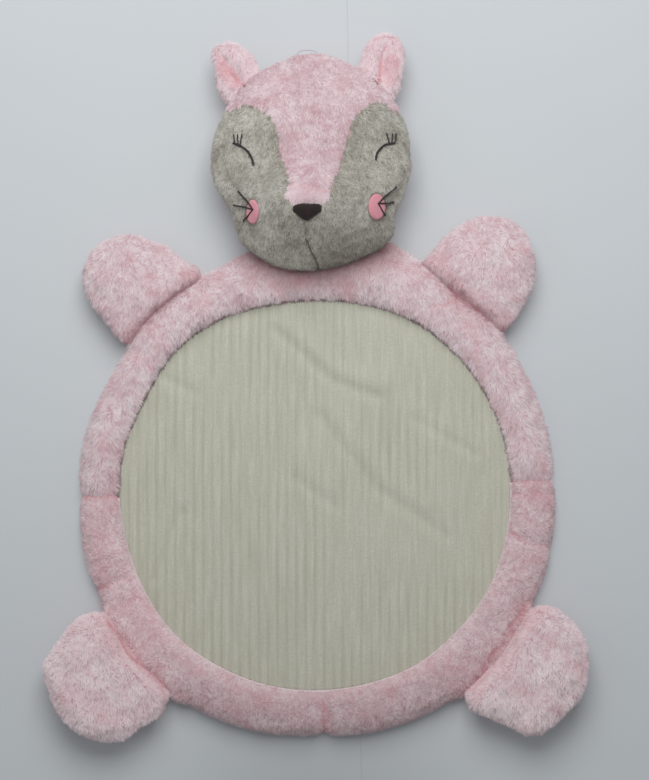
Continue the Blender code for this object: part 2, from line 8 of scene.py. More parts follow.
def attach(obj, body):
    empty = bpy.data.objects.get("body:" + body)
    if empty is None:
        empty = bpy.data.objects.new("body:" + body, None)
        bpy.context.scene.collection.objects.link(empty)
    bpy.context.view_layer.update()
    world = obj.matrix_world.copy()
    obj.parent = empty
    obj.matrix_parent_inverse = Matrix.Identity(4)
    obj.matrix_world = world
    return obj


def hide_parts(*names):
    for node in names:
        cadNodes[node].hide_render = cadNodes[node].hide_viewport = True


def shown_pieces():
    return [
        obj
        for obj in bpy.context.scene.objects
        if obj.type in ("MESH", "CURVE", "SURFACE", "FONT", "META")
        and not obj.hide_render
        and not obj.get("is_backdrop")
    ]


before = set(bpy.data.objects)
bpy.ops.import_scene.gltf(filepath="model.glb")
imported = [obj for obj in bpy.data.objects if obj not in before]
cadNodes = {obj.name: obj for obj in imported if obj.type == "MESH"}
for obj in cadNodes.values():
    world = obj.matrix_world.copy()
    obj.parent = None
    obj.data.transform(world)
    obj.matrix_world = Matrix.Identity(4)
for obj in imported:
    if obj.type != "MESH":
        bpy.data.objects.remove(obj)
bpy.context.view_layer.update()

photo = {"metresPerPixel": 0.00112, "centrePixel": (317.0, 497.0), "width": 649, "height": 780}


def spot(px, py):
    across = (px - photo["centrePixel"][0]) * photo["metresPerPixel"]
    return across, (photo["centrePixel"][1] - py) * photo["metresPerPixel"]


def spots(pixels):
    return [spot(px, py) for px, py in pixels]


def fromPhoto(red, green, blue):
    def linear(value):
        value /= 255.0
        return value / 12.92 if value <= 0.04045 else ((value + 0.055) / 1.055) ** 2.4
    return linear(red), linear(green), linear(blue), 1.0


photoMiddle = spot(photo["width"] / 2.0, photo["height"] / 2.0)


def clamped(value):
    return min(max(value, 0.0), 1.0)


def bell(apart, width):
    return math.exp(-(apart / width) ** 2)    # 1 at the place itself, next to nothing two widths away


def nearSpot(place, pixel, width):
    x, y = spot(*pixel)
    return bell(math.hypot(place.x - x, place.y - y), width)


def newPiece(name, mesh, *materials):
    piece = bpy.data.objects.new(name, mesh)
    bpy.context.scene.collection.objects.link(piece)
    for material in materials:
        mesh.materials.append(material)
    return piece


def finished(piece, slotName, *replaced):
    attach(piece, "root")
    if replaced:
        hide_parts(*replaced)
    return piece


def smoothShaded(mesh):
    for polygon in mesh.polygons:
        polygon.use_smooth = True
    return mesh


def meshFrom(bm, name):
    mesh = bpy.data.meshes.new(name)
    bm.to_mesh(mesh)
    bm.free()
    return mesh


# Camera, light and floor

camera = {"height": 3.4, "focusLevel": 0.034, "sensor": 24.0}
studio = {
    "lamps": (    # name, place, aim, size and power
        ("windowLight", (0.0, 1.05, 1.30), (0.0, 0.25, 0.0), 1.2, 18.0),
        ("fillLight", (-1.6, -0.2, 2.4), (0.0, 0.0, 0.0), 2.5, 3.0),
    ),
    "roomLight": 0.24, "roomColour": (0.93, 0.97, 1.0, 1.0),
    "floor": (219, 224, 227), "wear": 6, "shadow": (120, 122, 126), "floorSize": 9.0,
    # Painted shadows on the floor round the mat, darker towards each middle
    "tones": (((0.0, -0.34, 0.0), 0.24, 0.26), ((0.02, 0.62, 0.0), 0.50, 0.08)),    # middle, reach and share
    "joint": ((347.5, 0.0), (362.0, 780.0)), "jointWidth": 0.0012, "jointShare": 0.16,
}


def lampAt(name, place, aim, size, power):
    lamp = bpy.data.lights.new(name, "AREA")
    lamp.size = size
    lamp.energy = power
    item = bpy.data.objects.new(name, lamp)
    item.location = place
    item.rotation_euler = (Vector(aim) - Vector(place)).to_track_quat("-Z", "Y").to_euler()
    bpy.context.scene.collection.objects.link(item)


def setUpStudio():
    lens = bpy.data.cameras.new("photoCamera")
    lens.sensor_fit = "VERTICAL"
    lens.sensor_height = camera["sensor"]
    reach = camera["height"] - camera["focusLevel"]
    lens.lens = camera["sensor"] * reach / (photo["height"] * photo["metresPerPixel"])
    item = bpy.data.objects.new("photoCamera", lens)
    item.location = (*photoMiddle, camera["height"])
    bpy.context.scene.collection.objects.link(item)
    bpy.context.scene.camera = item

    world = bpy.data.worlds.new("room")
    world.use_nodes = True
    background = world.node_tree.nodes["Background"].inputs
    background["Color"].default_value = studio["roomColour"]
    background["Strength"].default_value = studio["roomLight"]
    bpy.context.scene.world = world
    bpy.context.scene.view_settings.view_transform = "Standard"
    for lamp in studio["lamps"]:
        lampAt(*lamp)

    bm = bmesh.new()
    bmesh.ops.create_grid(bm, x_segments=2, y_segments=2, size=studio["floorSize"] / 2.0)
    newPiece("paleFloor", meshFrom(bm, "paleFloor"), floorMaterial())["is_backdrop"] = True


# Nodes, for materials and for Geometry Nodes alike

def fed(tree, socket, value):
    if isinstance(value, bpy.types.NodeSocket):
        tree.links.new(value, socket)
    else:
        socket.default_value = value


def addNode(tree, kind, inputs=None, **settings):
    node = tree.nodes.new(kind)
    for name, value in settings.items():
        setattr(node, name, value)
    for key, value in (inputs or {}).items():
        fed(tree, node.inputs[key], value)
    return node


def mixed(tree, share, first, second):
    node = addNode(tree, "ShaderNodeMix", {0: share, 6: first, 7: second}, data_type="RGBA")
    return node.outputs[2]


def number(tree, operation, first, second=0.0):
    return addNode(tree, "ShaderNodeMath", {0: first, 1: second}, operation=operation).outputs[0]


def vector(tree, operation, first, second=(0.0, 0.0, 0.0), result=0):
    return addNode(tree, "ShaderNodeVectorMath", {0: first, 1: second}, operation=operation).outputs[result]


def scaled(tree, first, factor):
    return addNode(tree, "ShaderNodeVectorMath", {0: first, "Scale": factor}, operation="SCALE").outputs[0]


def clouds(tree, place, scale, detail, result="Fac"):
    node = addNode(tree, "ShaderNodeTexNoise", {"Vector": place, "Scale": scale, "Detail": detail})
    return node.outputs[result]


def ranged(tree, value, low, high, start, end, kind="LINEAR"):
    return addNode(tree, "ShaderNodeMapRange", {
        "Value": value, "From Min": low, "From Max": high, "To Min": start, "To Max": end,
    }, interpolation_type=kind).outputs["Result"]


def chance(tree, low, high, seed):
    node = addNode(tree, "FunctionNodeRandomValue", {2: low, 3: high, "Seed": seed}, data_type="FLOAT")
    return node.outputs[1]


def marked(tree, name, result="Fac"):
    return addNode(tree, "ShaderNodeAttribute", attribute_name=name).outputs[result]


# Materials

def newMaterial(name, roughness, sheen=0.0, sheenColour=(1.0, 1.0, 1.0, 1.0), specular=0.15):
    material = bpy.data.materials.new(name)
    material.use_nodes = True
    tree = material.node_tree
    shader = tree.nodes["Principled BSDF"]
    for key, value in (("Roughness", roughness), ("Specular IOR Level", specular), ("Sheen Weight", sheen),
                       ("Sheen Roughness", 0.6), ("Sheen Tint", sheenColour)):
        shader.inputs[key].default_value = value
    place = addNode(tree, "ShaderNodeTexCoord").outputs["Object"]
    return material, tree, shader, place


def roughened(tree, shader, height, strength, distance):
    bump = addNode(tree, "ShaderNodeBump", {"Height": height, "Strength": strength, "Distance": distance})
    fed(tree, shader.inputs["Normal"], bump.outputs[0])


def floorMaterial():
    material, tree, shader, place = newMaterial("matPaperFloor", 0.85)
    worn = fromPhoto(*(value - studio["wear"] for value in studio["floor"]))
    shadow = fromPhoto(*studio["shadow"])
    colour = mixed(tree, clouds(tree, place, 3.0, 3.0), worn, fromPhoto(*studio["floor"]))
    # Painted shadows on the floor round the mat
    for middle, reach, share in studio["tones"]:
        away = vector(tree, "DISTANCE", place, middle, "Value")
        colour = mixed(tree, ranged(tree, away, 0.02, reach, share, 0.0, "SMOOTHSTEP"), colour, shadow)
    top, foot = (Vector((*spot(*end), 0.0)) for end in studio["joint"])
    across = (top - foot).cross(Vector((0.0, 0.0, 1.0))).normalized()
    beside = number(tree, "SUBTRACT", vector(tree, "DOT_PRODUCT", place, across, "Value"), foot.dot(across))
    beside = number(tree, "ABSOLUTE", beside)
    line = ranged(tree, beside, 0.0, studio["jointWidth"], studio["jointShare"], 0.0)
    fed(tree, shader.inputs["Base Color"], mixed(tree, line, colour, shadow))
    return material


plush = {"tipAt": 0.85, "tufts": 120.0, "patches": 28.0, "flushes": 46.0, "shadow": (98, 82, 78)}


def plushMaterial(name, root, tip, deep, mottling=0.8, onBlades=True, blushing=0.24):
    # Darker at the roots and in the creases, both painted shade, as the blades cast no shadows; paler at the
    # tips; blades are lit as the cloth they stand on
    material, tree, shader, place = newMaterial(name, 0.92, 0.2, tip)
    colour = mixed(tree, ranged(tree, marked(tree, "alongBlade"), 0.0, plush["tipAt"], 0.0, 1.0), root, tip)
    tufts = clouds(tree, place, plush["tufts"], 3.0)
    uneven = number(tree, "ADD", tufts, marked(tree, "bladeTone"))
    uneven = number(tree, "ADD", uneven, clouds(tree, place, plush["patches"], 4.0))
    colour = mixed(tree, ranged(tree, uneven, 1.15, 1.85, mottling, 0.0), colour, root)
    flushes = clouds(tree, place, plush["flushes"], 5.0)
    colour = mixed(tree, ranged(tree, flushes, 0.45, 0.70, 0.0, blushing), colour, deep)
    # Painted shade in creases, seams, under the chin and by the paws' seams, towards the deep colour
    colour = mixed(tree, marked(tree, "creaseShade"), colour, deep)
    # Painted shade towards the shadow colour, and painted light where the share is below nothing
    colour = mixed(tree, marked(tree, "paintedLightAndShade"), colour, fromPhoto(*plush["shadow"]))
    colour.node.clamp_factor = False    # a place in more light has a share below nothing
    fed(tree, shader.inputs["Base Color"], colour)
    if onBlades:
        lit = marked(tree, "pileNormal", "Vector")
        own = addNode(tree, "ShaderNodeNewGeometry").outputs["Normal"]
        against = number(tree, "MULTIPLY", vector(tree, "DOT_PRODUCT", lit, own, "Value"), -1.0)
        weight = number(tree, "ADD", number(tree, "MAXIMUM", against, 0.0), 0.5)
        both = vector(tree, "ADD", lit, scaled(tree, own, weight))
        fed(tree, shader.inputs["Normal"], vector(tree, "NORMALIZE", both))
    else:
        roughened(tree, shader, tufts, 0.6, 0.002)
    return material


# Each deep colour is where random flushes go, and where painted shade in creases, seams and on the chin goes
pinkRoot, pinkTip, pinkDeep = fromPhoto(206, 172, 179), fromPhoto(245, 234, 236), fromPhoto(212, 131, 138)
# The crown's copy of the pink plush: a deeper, more mottled pink, and darker as painted shade where the crown
# rises nearest the lamp
crownRoot, crownTip, crownDeep = fromPhoto(192, 157, 164), fromPhoto(237, 223, 226), fromPhoto(194, 128, 132)
# The lower bands' copy: a pinker cloth, and a little darker as painted shade on the side away from the lamp
bandRoot, bandTip = fromPhoto(206, 169, 175), fromPhoto(243, 226, 228)
# A paler copy of the pink plush for the hind paws: painted light where the lamp's light falls off
paintedLightPawRoot, paintedLightPawTip = fromPhoto(220, 184, 190), fromPhoto(255, 243, 245)
earRoot, earTip = fromPhoto(212, 176, 183), fromPhoto(240, 226, 229)
greyRoot, greyTip, greyDeep = fromPhoto(130, 124, 113), fromPhoto(206, 203, 194), fromPhoto(76, 65, 53)
paleRoot, paleTip = fromPhoto(204, 178, 184), fromPhoto(232, 215, 219)
innerRoot, innerTip = fromPhoto(216, 172, 178), fromPhoto(242, 218, 222)

pinkPlush = plushMaterial("pinkPlush", pinkRoot, pinkTip, pinkDeep)
crownPlush = plushMaterial("crownPlush", crownRoot, crownTip, crownDeep, 0.95)
bandPlush = plushMaterial("bandPlush", bandRoot, bandTip, pinkDeep)
paintedLightPawPlush = plushMaterial("paintedLightPawPlush", paintedLightPawRoot, paintedLightPawTip, pinkDeep, 0.6)
earPlush = plushMaterial("earPlush", earRoot, earTip, pinkDeep, 0.5, blushing=0.12)
greyPlush = plushMaterial("greyPlush", greyRoot, greyTip, greyDeep, blushing=0.10)
palePlush = plushMaterial("palePlush", paleRoot, paleTip, pinkDeep)
innerEarPlush = plushMaterial("innerEarPlush", innerRoot, innerTip, crownDeep)
pinkCloth = plushMaterial("pinkCloth", pinkRoot, pinkRoot, pinkDeep, 0.3, False)
greyCloth = plushMaterial("greyCloth", greyRoot, greyRoot, greyDeep, 0.3, False)
paleCloth = plushMaterial("paleCloth", paleRoot, paleRoot, pinkDeep, 0.3, False)
innerEarCloth = plushMaterial("innerEarCloth", innerRoot, innerRoot, pinkDeep, 0.3, False)
bindingCloth = plushMaterial("bindingCloth", paleTip, paleTip, paleRoot, 0.3, False)


fleece = {"nap": 480.0, "napShare": 0.36, "grooveShade": 0.34, "streaks": (
    ((240.0, 22.0, 60.0), 3.0, 0.8, (221, 221, 206)),    # stretch, detail, share and colour
    ((620.0, 20.0, 60.0), 2.0, 0.4, (192, 190, 173)),
)}


def fleeceMaterial():
    material, tree, shader, place = newMaterial("ribbedFleece", 0.9, 0.3, fromPhoto(226, 229, 214))
    nap = clouds(tree, place, fleece["nap"], 3.0)
    colour = mixed(tree, clouds(tree, place, 16.0, 4.0), fromPhoto(201, 205, 186), fromPhoto(213, 209, 195))
    for stretch, detail, share, tone in fleece["streaks"]:
        drawn = addNode(tree, "ShaderNodeMapping", {"Vector": place, "Scale": stretch}).outputs[0]
        streaks = ranged(tree, clouds(tree, drawn, 1.0, detail), 0.35, 0.65, 0.0, share)
        colour = mixed(tree, streaks, colour, fromPhoto(*tone))
    dull = ranged(tree, nap, 0.30, 0.70, 0.0, fleece["napShare"])
    colour = mixed(tree, dull, colour, fromPhoto(172, 174, 155))
    # Painted shade in the ribs' grooves
    pressed = number(tree, "MULTIPLY", marked(tree, "groove"), fleece["grooveShade"])
    fed(tree, shader.inputs["Base Color"], mixed(tree, pressed, colour, fromPhoto(166, 165, 148)))
    roughened(tree, shader, nap, 0.5, 0.0006)
    return material


def threadMaterial(name, colour, pale, roughness=0.45):
    material, tree, shader, place = newMaterial(name, roughness, 0.1, specular=0.4)
    twist = clouds(tree, place, 1400.0, 2.0)
    fed(tree, shader.inputs["Base Color"], mixed(tree, twist, colour, pale))
    roughened(tree, shader, twist, 0.4, 0.0003)
    return material


def satinMaterial(name, colour, pale, roughness, scale, angle):
    # Satin stitches lie side by side, so fine bands run across the colour and the height
    material, tree, shader, place = newMaterial(name, roughness, 0.15, specular=0.25)
    turned = addNode(tree, "ShaderNodeMapping", {"Vector": place, "Rotation": (0.0, 0.0, angle)}).outputs[0]
    rows = addNode(tree, "ShaderNodeTexWave", {
        "Vector": turned, "Scale": scale, "Distortion": 1.2, "Detail": 2.0, "Detail Scale": 2.0,
    }).outputs["Fac"]
    fed(tree, shader.inputs["Base Color"], mixed(tree, rows, colour, pale))
    roughened(tree, shader, rows, 0.6, 0.0005)
    return material


ribbedFleece = fleeceMaterial()
blackThread = threadMaterial("blackThread", fromPhoto(22, 20, 22), fromPhoto(52, 48, 50))
seamThread = threadMaterial("seamThread", fromPhoto(78, 70, 62), fromPhoto(104, 96, 86), 0.8)
loopThread = threadMaterial("loopThread", fromPhoto(188, 184, 192), fromPhoto(208, 204, 210), 0.8)
noseSatin = satinMaterial("noseSatin", fromPhoto(26, 16, 14), fromPhoto(48, 34, 31), 0.75, 260.0, 0.0)
pinkSatin = satinMaterial("pinkSatin", fromPhoto(228, 146, 159), fromPhoto(240, 172, 182), 0.6, 300.0, 0.6)
print("materials ready")


# Stuffed bodies: the cloth under the pile

creases = {
    "pawFold": {"depth": 0.0022, "width": 0.0024, "shade": 0.8, "lines": (
        ((201.6, 278), (172, 296), (141, 327), (131, 336)),
        ((429, 271), (445, 287), (464, 306), (487, 318), (498, 328)),
        ((105, 619), (113, 628), (130, 657), (145, 669), (160, 682), (167, 696)),
        ((530, 602), (511, 621), (505, 635), (488, 653), (481, 671), (476, 682), (465, 690)),
    )},
    "rimSeam": {"depth": 0.0035, "width": 0.0032, "shade": 0.9, "lines": (
        ((80, 496), (121, 496)),
        ((515, 480.5), (557, 480)),
        ((324, 700), (324, 737)),
    )},
    "rimCrease": {"depth": 0.0022, "width": 0.0032, "shade": 0.5, "lines": (
        ((513, 533), (524, 542), (549, 548)),
        ((518, 494), (552, 495)),
        ((97, 590), (112, 583), (128, 577)),
        ((138, 356), (153, 369)),
        ((433, 305), (453, 300)),
        ((204, 291), (209, 300)),
    )},
    "pawWrinkle": {"depth": 0.0022, "width": 0.0040, "shade": 0.35, "lines": (
        ((448, 290), (455, 280)),
        ((461, 301), (470, 290)),
        ((476, 311), (487, 301)),
        ((150, 672), (143, 680)),
        ((508, 628), (518, 634)),
    )},
    "pawRidge": {"depth": -0.0026, "width": 0.0065, "shade": 0.0, "lines": (
        ((48, 663), (66, 690), (86, 714), (103, 725), (131, 721)),
        ((527, 723), (538, 711), (550, 698), (568, 677)),
    )},
    "chinSeam": {"depth": 0.0018, "width": 0.0017, "shade": 0.55, "lines": (
        ((305, 227), (309.3, 246.5), (315.6, 258.4), (318.4, 268.2)),
    )},
    "browSeam": {"depth": 0.0020, "width": 0.0026, "shade": 0.5, "lines": (
        ((228.6, 112.2), (250.9, 106.8), (272.0, 118.4), (278.1, 133.6), (281.9, 157.7), (288.8, 177.4),
         (290.6, 187.2)),
        ((399.1, 114.9), (380.4, 103.3), (368.8, 105.9), (353.2, 119.3), (348.2, 136.3), (342.0, 157.7),
         (335.9, 176.5), (328.7, 192.5)),
        ((286, 189), (296, 187.5), (312, 189), (327, 193.5)),
    )},
    "faceFold": {"depth": 0.0024, "width": 0.0042, "shade": 0.3, "lines": (
        ((228, 143), (219, 149), (214.6, 163)),
        ((228, 174), (232, 182), (238, 190)),
        ((395, 138), (406, 147), (412, 158)),
        ((405.7, 171.5), (404, 188.7), (396, 207.6)),
        ((241, 222), (238, 233)),
    )},
    "earFold": {"depth": 0.0030, "width": 0.0030, "shade": 0.7, "lines": (
        ((216, 50), (224, 62), (240, 82), (245, 87)),
        ((386, 44), (381.5, 56), (381, 74), (376.4, 85)),
    )},
}


def toSegment(x, y, start, end):
    runX, runY = end[0] - start[0], end[1] - start[1]
    along = clamped(((x - start[0]) * runX + (y - start[1]) * runY) / (runX * runX + runY * runY))
    return math.hypot(x - start[0] - along * runX, y - start[1] - along * runY)


creaseRuns = [
    (name, start, end)
    for name, crease in creases.items()
    for line in crease["lines"]
    for start, end in zip(spots(line), spots(line[1:]))
]


def creaseAt(x, y):
    # How deep the cloth is drawn in at a place, and how dark the painted shade in the crease is there
    nearest, shade = {}, 0.0
    for name, start, end in creaseRuns:
        if min(start[0], end[0]) - 0.02 < x < max(start[0], end[0]) + 0.02:
            crease = creases[name]
            apart = toSegment(x, y, start, end)
            nearest[name] = max(nearest.get(name, 0.0), bell(apart, crease["width"]))
            shade = max(shade, crease["shade"] * bell(apart, 0.75 * crease["width"]))
    return sum(near * creases[name]["depth"] for name, near in nearest.items()), shade


def solidsOf(names):
    bm = bmesh.new()
    for name in names:
        bm.from_mesh(cadNodes[name].data)
    return bm


def nodeTree(names):
    bm = solidsOf(names)
    tree = BVHTree.FromBMesh(bm)
    bm.free()
    return tree


def plainMesh(holder, name):
    # What a holder's modifiers make of it; the holder itself goes
    mesh = bpy.data.meshes.new_from_object(holder.evaluated_get(bpy.context.evaluated_depsgraph_get()))
    bpy.data.objects.remove(holder)
    mesh.name = name
    return mesh


stuffing = {
    "floorGap": 0.0004, "flatBelow": 0.004, "duskBelow": 0.009, "dusk": 0.45, "pileCut": 0.55,
    "lumpScales": (38.0, 90.0), "sideInset": 0.35, "topInset": 0.65, "barely": 0.0035,
}


def stuffedBody(name, nodeNames, sizes, shape):
    # One soft closed body round CAD solids: merged, remeshed, drawn in under the pile and creased
    bm = solidsOf(nodeNames)
    bmesh.ops.remove_doubles(bm, verts=bm.verts, dist=0.00005)
    draft = newPiece(name + "Draft", meshFrom(bm, name + "Source"))
    remesh = draft.modifiers.new("remesh", "REMESH")
    remesh.mode = "VOXEL"
    remesh.voxel_size = sizes["voxel"]
    relax = draft.modifiers.new("relax", "SMOOTH")
    relax.factor = 0.5
    relax.iterations = sizes["smoothing"]
    mesh = plainMesh(draft, name)
    mesh.materials.clear()

    bm = bmesh.new()
    bm.from_mesh(mesh)
    bm.normal_update()
    pileShare = bm.verts.layers.float.new("pileLength")
    shadeLayer = bm.verts.layers.float.new("creaseShade")
    duskLayer = bm.verts.layers.float.new("paintedLightAndShade")
    lumps, ground = sizes["lumps"], stuffing["duskBelow"]
    coarse, fine = stuffing["lumpScales"]
    moved = []
    for vert in bm.verts:
        place, normal = vert.co.copy(), vert.normal.copy()
        up = max(normal.z, 0.0)
        depth, shade = creaseAt(place.x, place.y) if normal.z > -0.1 else (0.0, 0.0)
        finer = noise.noise(place * fine + Vector((7, 3, 1)))
        swell = lumps * noise.noise(place * coarse) + 0.5 * lumps * finer
        tucked = sizes["inset"] * (stuffing["sideInset"] + stuffing["topInset"] * up)
        there = shape(place - normal * (tucked + depth - swell * up))
        if place.z < stuffing["flatBelow"]:
            there.z = place.z
        there.z = max(there.z, stuffing["floorGap"])
        moved.append(there)
        # Painted shade in the creases, and painted shade towards the floor, where the body meets it
        vert[shadeLayer] = shade
        vert[duskLayer] = stuffing["dusk"] * clamped((ground - place.z) / ground)
        vert[pileShare] = 1.0 - stuffing["pileCut"] * shade
    for vert, there in zip(bm.verts, moved):
        vert.co = there
    bmesh.ops.smooth_vert(bm, verts=bm.verts, factor=0.3, use_axis_x=True, use_axis_y=True, use_axis_z=True)
    bm.normal_update()
    bm.to_mesh(mesh)
    bm.free()
    return newPiece(name, smoothShaded(mesh), pinkCloth)


def skinPatch(body, keep, neighbours=None, clear=0.0035, lowest=-0.35):
    # The faces of a body on which one kind of pile grows, as a mesh of their own
    bm = bmesh.new()
    bm.from_mesh(body.data)
    gone = []
    for face in bm.faces:
        centre = face.calc_center_median()
        hidden = face.normal.z < lowest or centre.z < stuffing["barely"]
        if not hidden and neighbours is not None:
            hidden = neighbours.find_nearest(centre, clear)[0] is not None
        if hidden or not keep(centre, face.normal):
            gone.append(face)
    bmesh.ops.delete(bm, geom=gone, context="FACES")
    return meshFrom(bm, "patch")


# Geometry Nodes trees

def newTree(name, sizes, *others):
    # A tree with a named input for each size
    tree = bpy.data.node_groups.new(name, "GeometryNodeTree")
    tree.interface.new_socket("Geometry", in_out="INPUT", socket_type="NodeSocketGeometry")
    for label, value in sizes.items():
        socket = tree.interface.new_socket(label, in_out="INPUT", socket_type="NodeSocketFloat")
        socket.default_value = value
    for label, kind in (*others, ("Material", "NodeSocketMaterial")):
        tree.interface.new_socket(label, in_out="INPUT", socket_type=kind)
    tree.interface.new_socket("Geometry", in_out="OUTPUT", socket_type="NodeSocketGeometry")
    return tree, tree.nodes.new("NodeGroupInput").outputs


def read(tree, name):
    node = addNode(tree, "GeometryNodeInputNamedAttribute", {"Name": name}, data_type="FLOAT")
    return node.outputs["Attribute"]


def stored(tree, geometry, name, kind, value):
    return addNode(tree, "GeometryNodeStoreNamedAttribute", {
        "Geometry": geometry, "Name": name, "Value": value,
    }, data_type=kind, domain="POINT").outputs["Geometry"]


def turnedTo(tree, first, second, firstAxis, secondAxis):
    return addNode(tree, "FunctionNodeAxesToRotation", {
        "Primary Axis": first, "Secondary Axis": second,
    }, primary_axis=firstAxis, secondary_axis=secondAxis).outputs[0]


def real(tree, geometry):
    return addNode(tree, "GeometryNodeRealizeInstances", {"Geometry": geometry}).outputs[0]


def copies(tree, points, helper, rotation, scale):
    source = addNode(tree, "GeometryNodeObjectInfo", {"Object": helper})
    grown = addNode(tree, "GeometryNodeInstanceOnPoints", {
        "Points": points, "Instance": source.outputs["Geometry"], "Rotation": rotation, "Scale": scale})
    return real(tree, grown.outputs[0])


def ended(tree, geometry, material):
    dressed = addNode(tree, "GeometryNodeSetMaterial", {"Geometry": geometry, "Material": material})
    addNode(tree, "NodeGroupOutput", {"Geometry": dressed.outputs[0]})
    return tree


def runTree(name, mesh, tree, values):
    holder = newPiece(name + "Holder", mesh)
    modifier = holder.modifiers.new("tree", "NODES")
    modifier.node_group = tree
    for socket in tree.interface.items_tree:
        if socket.in_out == "INPUT" and socket.name in values:
            modifier[socket.identifier] = values[socket.name]
    return plainMesh(holder, name)


# Pile: one small bent blade, planted all over a body

pile = {
    "bladeWidth": 0.0010, "droop": 0.16, "knee": 0.45, "bulge": 0.02, "comb": (0.0, -0.85, -1.2), "seed": 11,
    "waves": (55.0, 2.0, 3.2), "tufts": (190.0, 1.0, 2.6), "stray": 0.45,    # scale, detail and share
    "strayGrowth": 0.18, "strayFace": 0.35,
    "lengths": (0.7, 1.2), "clumps": 170.0, "clumpLengths": (0.62, 1.3), "tones": (0.2, 0.8),
    "litUp": (0.0, 0.0, 0.25), "litDrift": 0.42, "litStray": 0.30,
}


def bladeObject():
    droop, knee, bulge = pile["droop"], pile["knee"], pile["bulge"]
    mesh = bpy.data.meshes.new("blade")
    corners = [(0.0, 0.0, 0.0), (0.5, bulge, knee), (0.0, -droop, 1.0), (-0.5, bulge, knee)]
    mesh.from_pydata(corners, [], [(0, 1, 3), (3, 1, 2)])
    along = mesh.attributes.new("alongBlade", "FLOAT", "POINT")
    for index, value in enumerate((0.0, 0.55, 1.0, 0.55)):
        along.data[index].value = value
    return newPiece("blade", mesh)


def pileTree(blade):
    tree, given = newTree("plushPile", {
        "Density": 1.0e6, "Length": 0.007, "Width": 0.0009, "Lean": 1.4, "Unruly": 0.6,
    }, ("Comb", "NodeSocketVector"), ("Seed", "NodeSocketInt"))
    planted = addNode(tree, "GeometryNodeDistributePointsOnFaces", {
        "Mesh": given["Geometry"], "Density": given["Density"], "Seed": given["Seed"]})
    normal = planted.outputs["Normal"]
    place = addNode(tree, "GeometryNodeInputPosition").outputs[0]
    stray = addNode(tree, "FunctionNodeRandomValue", {
        "Min": (-1.0, -1.0, -1.0), "Max": (1.0, 1.0, 1.0), "Seed": given["Seed"],
    }, data_type="FLOAT_VECTOR").outputs[0]
    drifts = []
    for scale, detail, share in (pile["waves"], pile["tufts"]):
        evenly = vector(tree, "SUBTRACT", clouds(tree, place, scale, detail, "Color"), (0.5, 0.5, 0.5))
        drifts.append(scaled(tree, evenly, share))
    drift = vector(tree, "ADD", vector(tree, "ADD", *drifts), scaled(tree, stray, pile["stray"]))
    lean = vector(tree, "ADD", given["Comb"], scaled(tree, drift, given["Unruly"]))
    upright = vector(tree, "DOT_PRODUCT", lean, normal, "Value")
    lean = vector(tree, "SUBTRACT", lean, scaled(tree, normal, upright))
    lean = scaled(tree, vector(tree, "NORMALIZE", lean), given["Lean"])    # no blade stands straight up
    growth = vector(tree, "ADD", vector(tree, "ADD", normal, lean), scaled(tree, stray, pile["strayGrowth"]))
    face = vector(tree, "ADD", normal, scaled(tree, stray, pile["strayFace"]))
    turned = turnedTo(tree, vector(tree, "NORMALIZE", growth), face, "Z", "Y")

    ragged = ranged(tree, clouds(tree, place, pile["clumps"], 1.0), 0.3, 0.7, *pile["clumpLengths"])
    length = number(tree, "MULTIPLY", given["Length"], read(tree, "pileLength"))
    length = number(tree, "MULTIPLY", length, chance(tree, *pile["lengths"], 5))
    length = number(tree, "MULTIPLY", length, ragged)
    size = addNode(tree, "ShaderNodeCombineXYZ", {"X": given["Width"], "Y": length, "Z": length}).outputs[0]

    uneven = vector(tree, "ADD", scaled(tree, drift, pile["litDrift"]), scaled(tree, stray, pile["litStray"]))
    lit = vector(tree, "ADD", vector(tree, "ADD", normal, pile["litUp"]), uneven)
    lit = vector(tree, "NORMALIZE", lit)
    points = stored(tree, planted.outputs["Points"], "pileNormal", "FLOAT_VECTOR", lit)
    points = stored(tree, points, "bladeTone", "FLOAT", chance(tree, *pile["tones"], 9))
    blades = copies(tree, points, blade, turned, size)
    above = vector(tree, "MAXIMUM", place, (-9.0, -9.0, stuffing["floorGap"]))    # none goes into the floor
    placed = addNode(tree, "GeometryNodeSetPosition", {"Geometry": blades, "Position": above})
    return ended(tree, placed.outputs[0], given["Material"])


def grown(name, patch, material, slotName, **sizes):
    values = {"Width": pile["bladeWidth"], "Comb": pile["comb"], "Seed": pile["seed"], "Material": material}
    mesh = runTree(name, patch, plushPile, {**values, **sizes})
    print(name, len(mesh.polygons), "blade faces")
    piece = newPiece(name, mesh)
    piece.visible_shadow = False    # fine fibres let the light through to the cloth
    piece.visible_diffuse = False
    return finished(piece, slotName)


blade = bladeObject()
plushPile = pileTree(blade)
setUpStudio()

# Rim

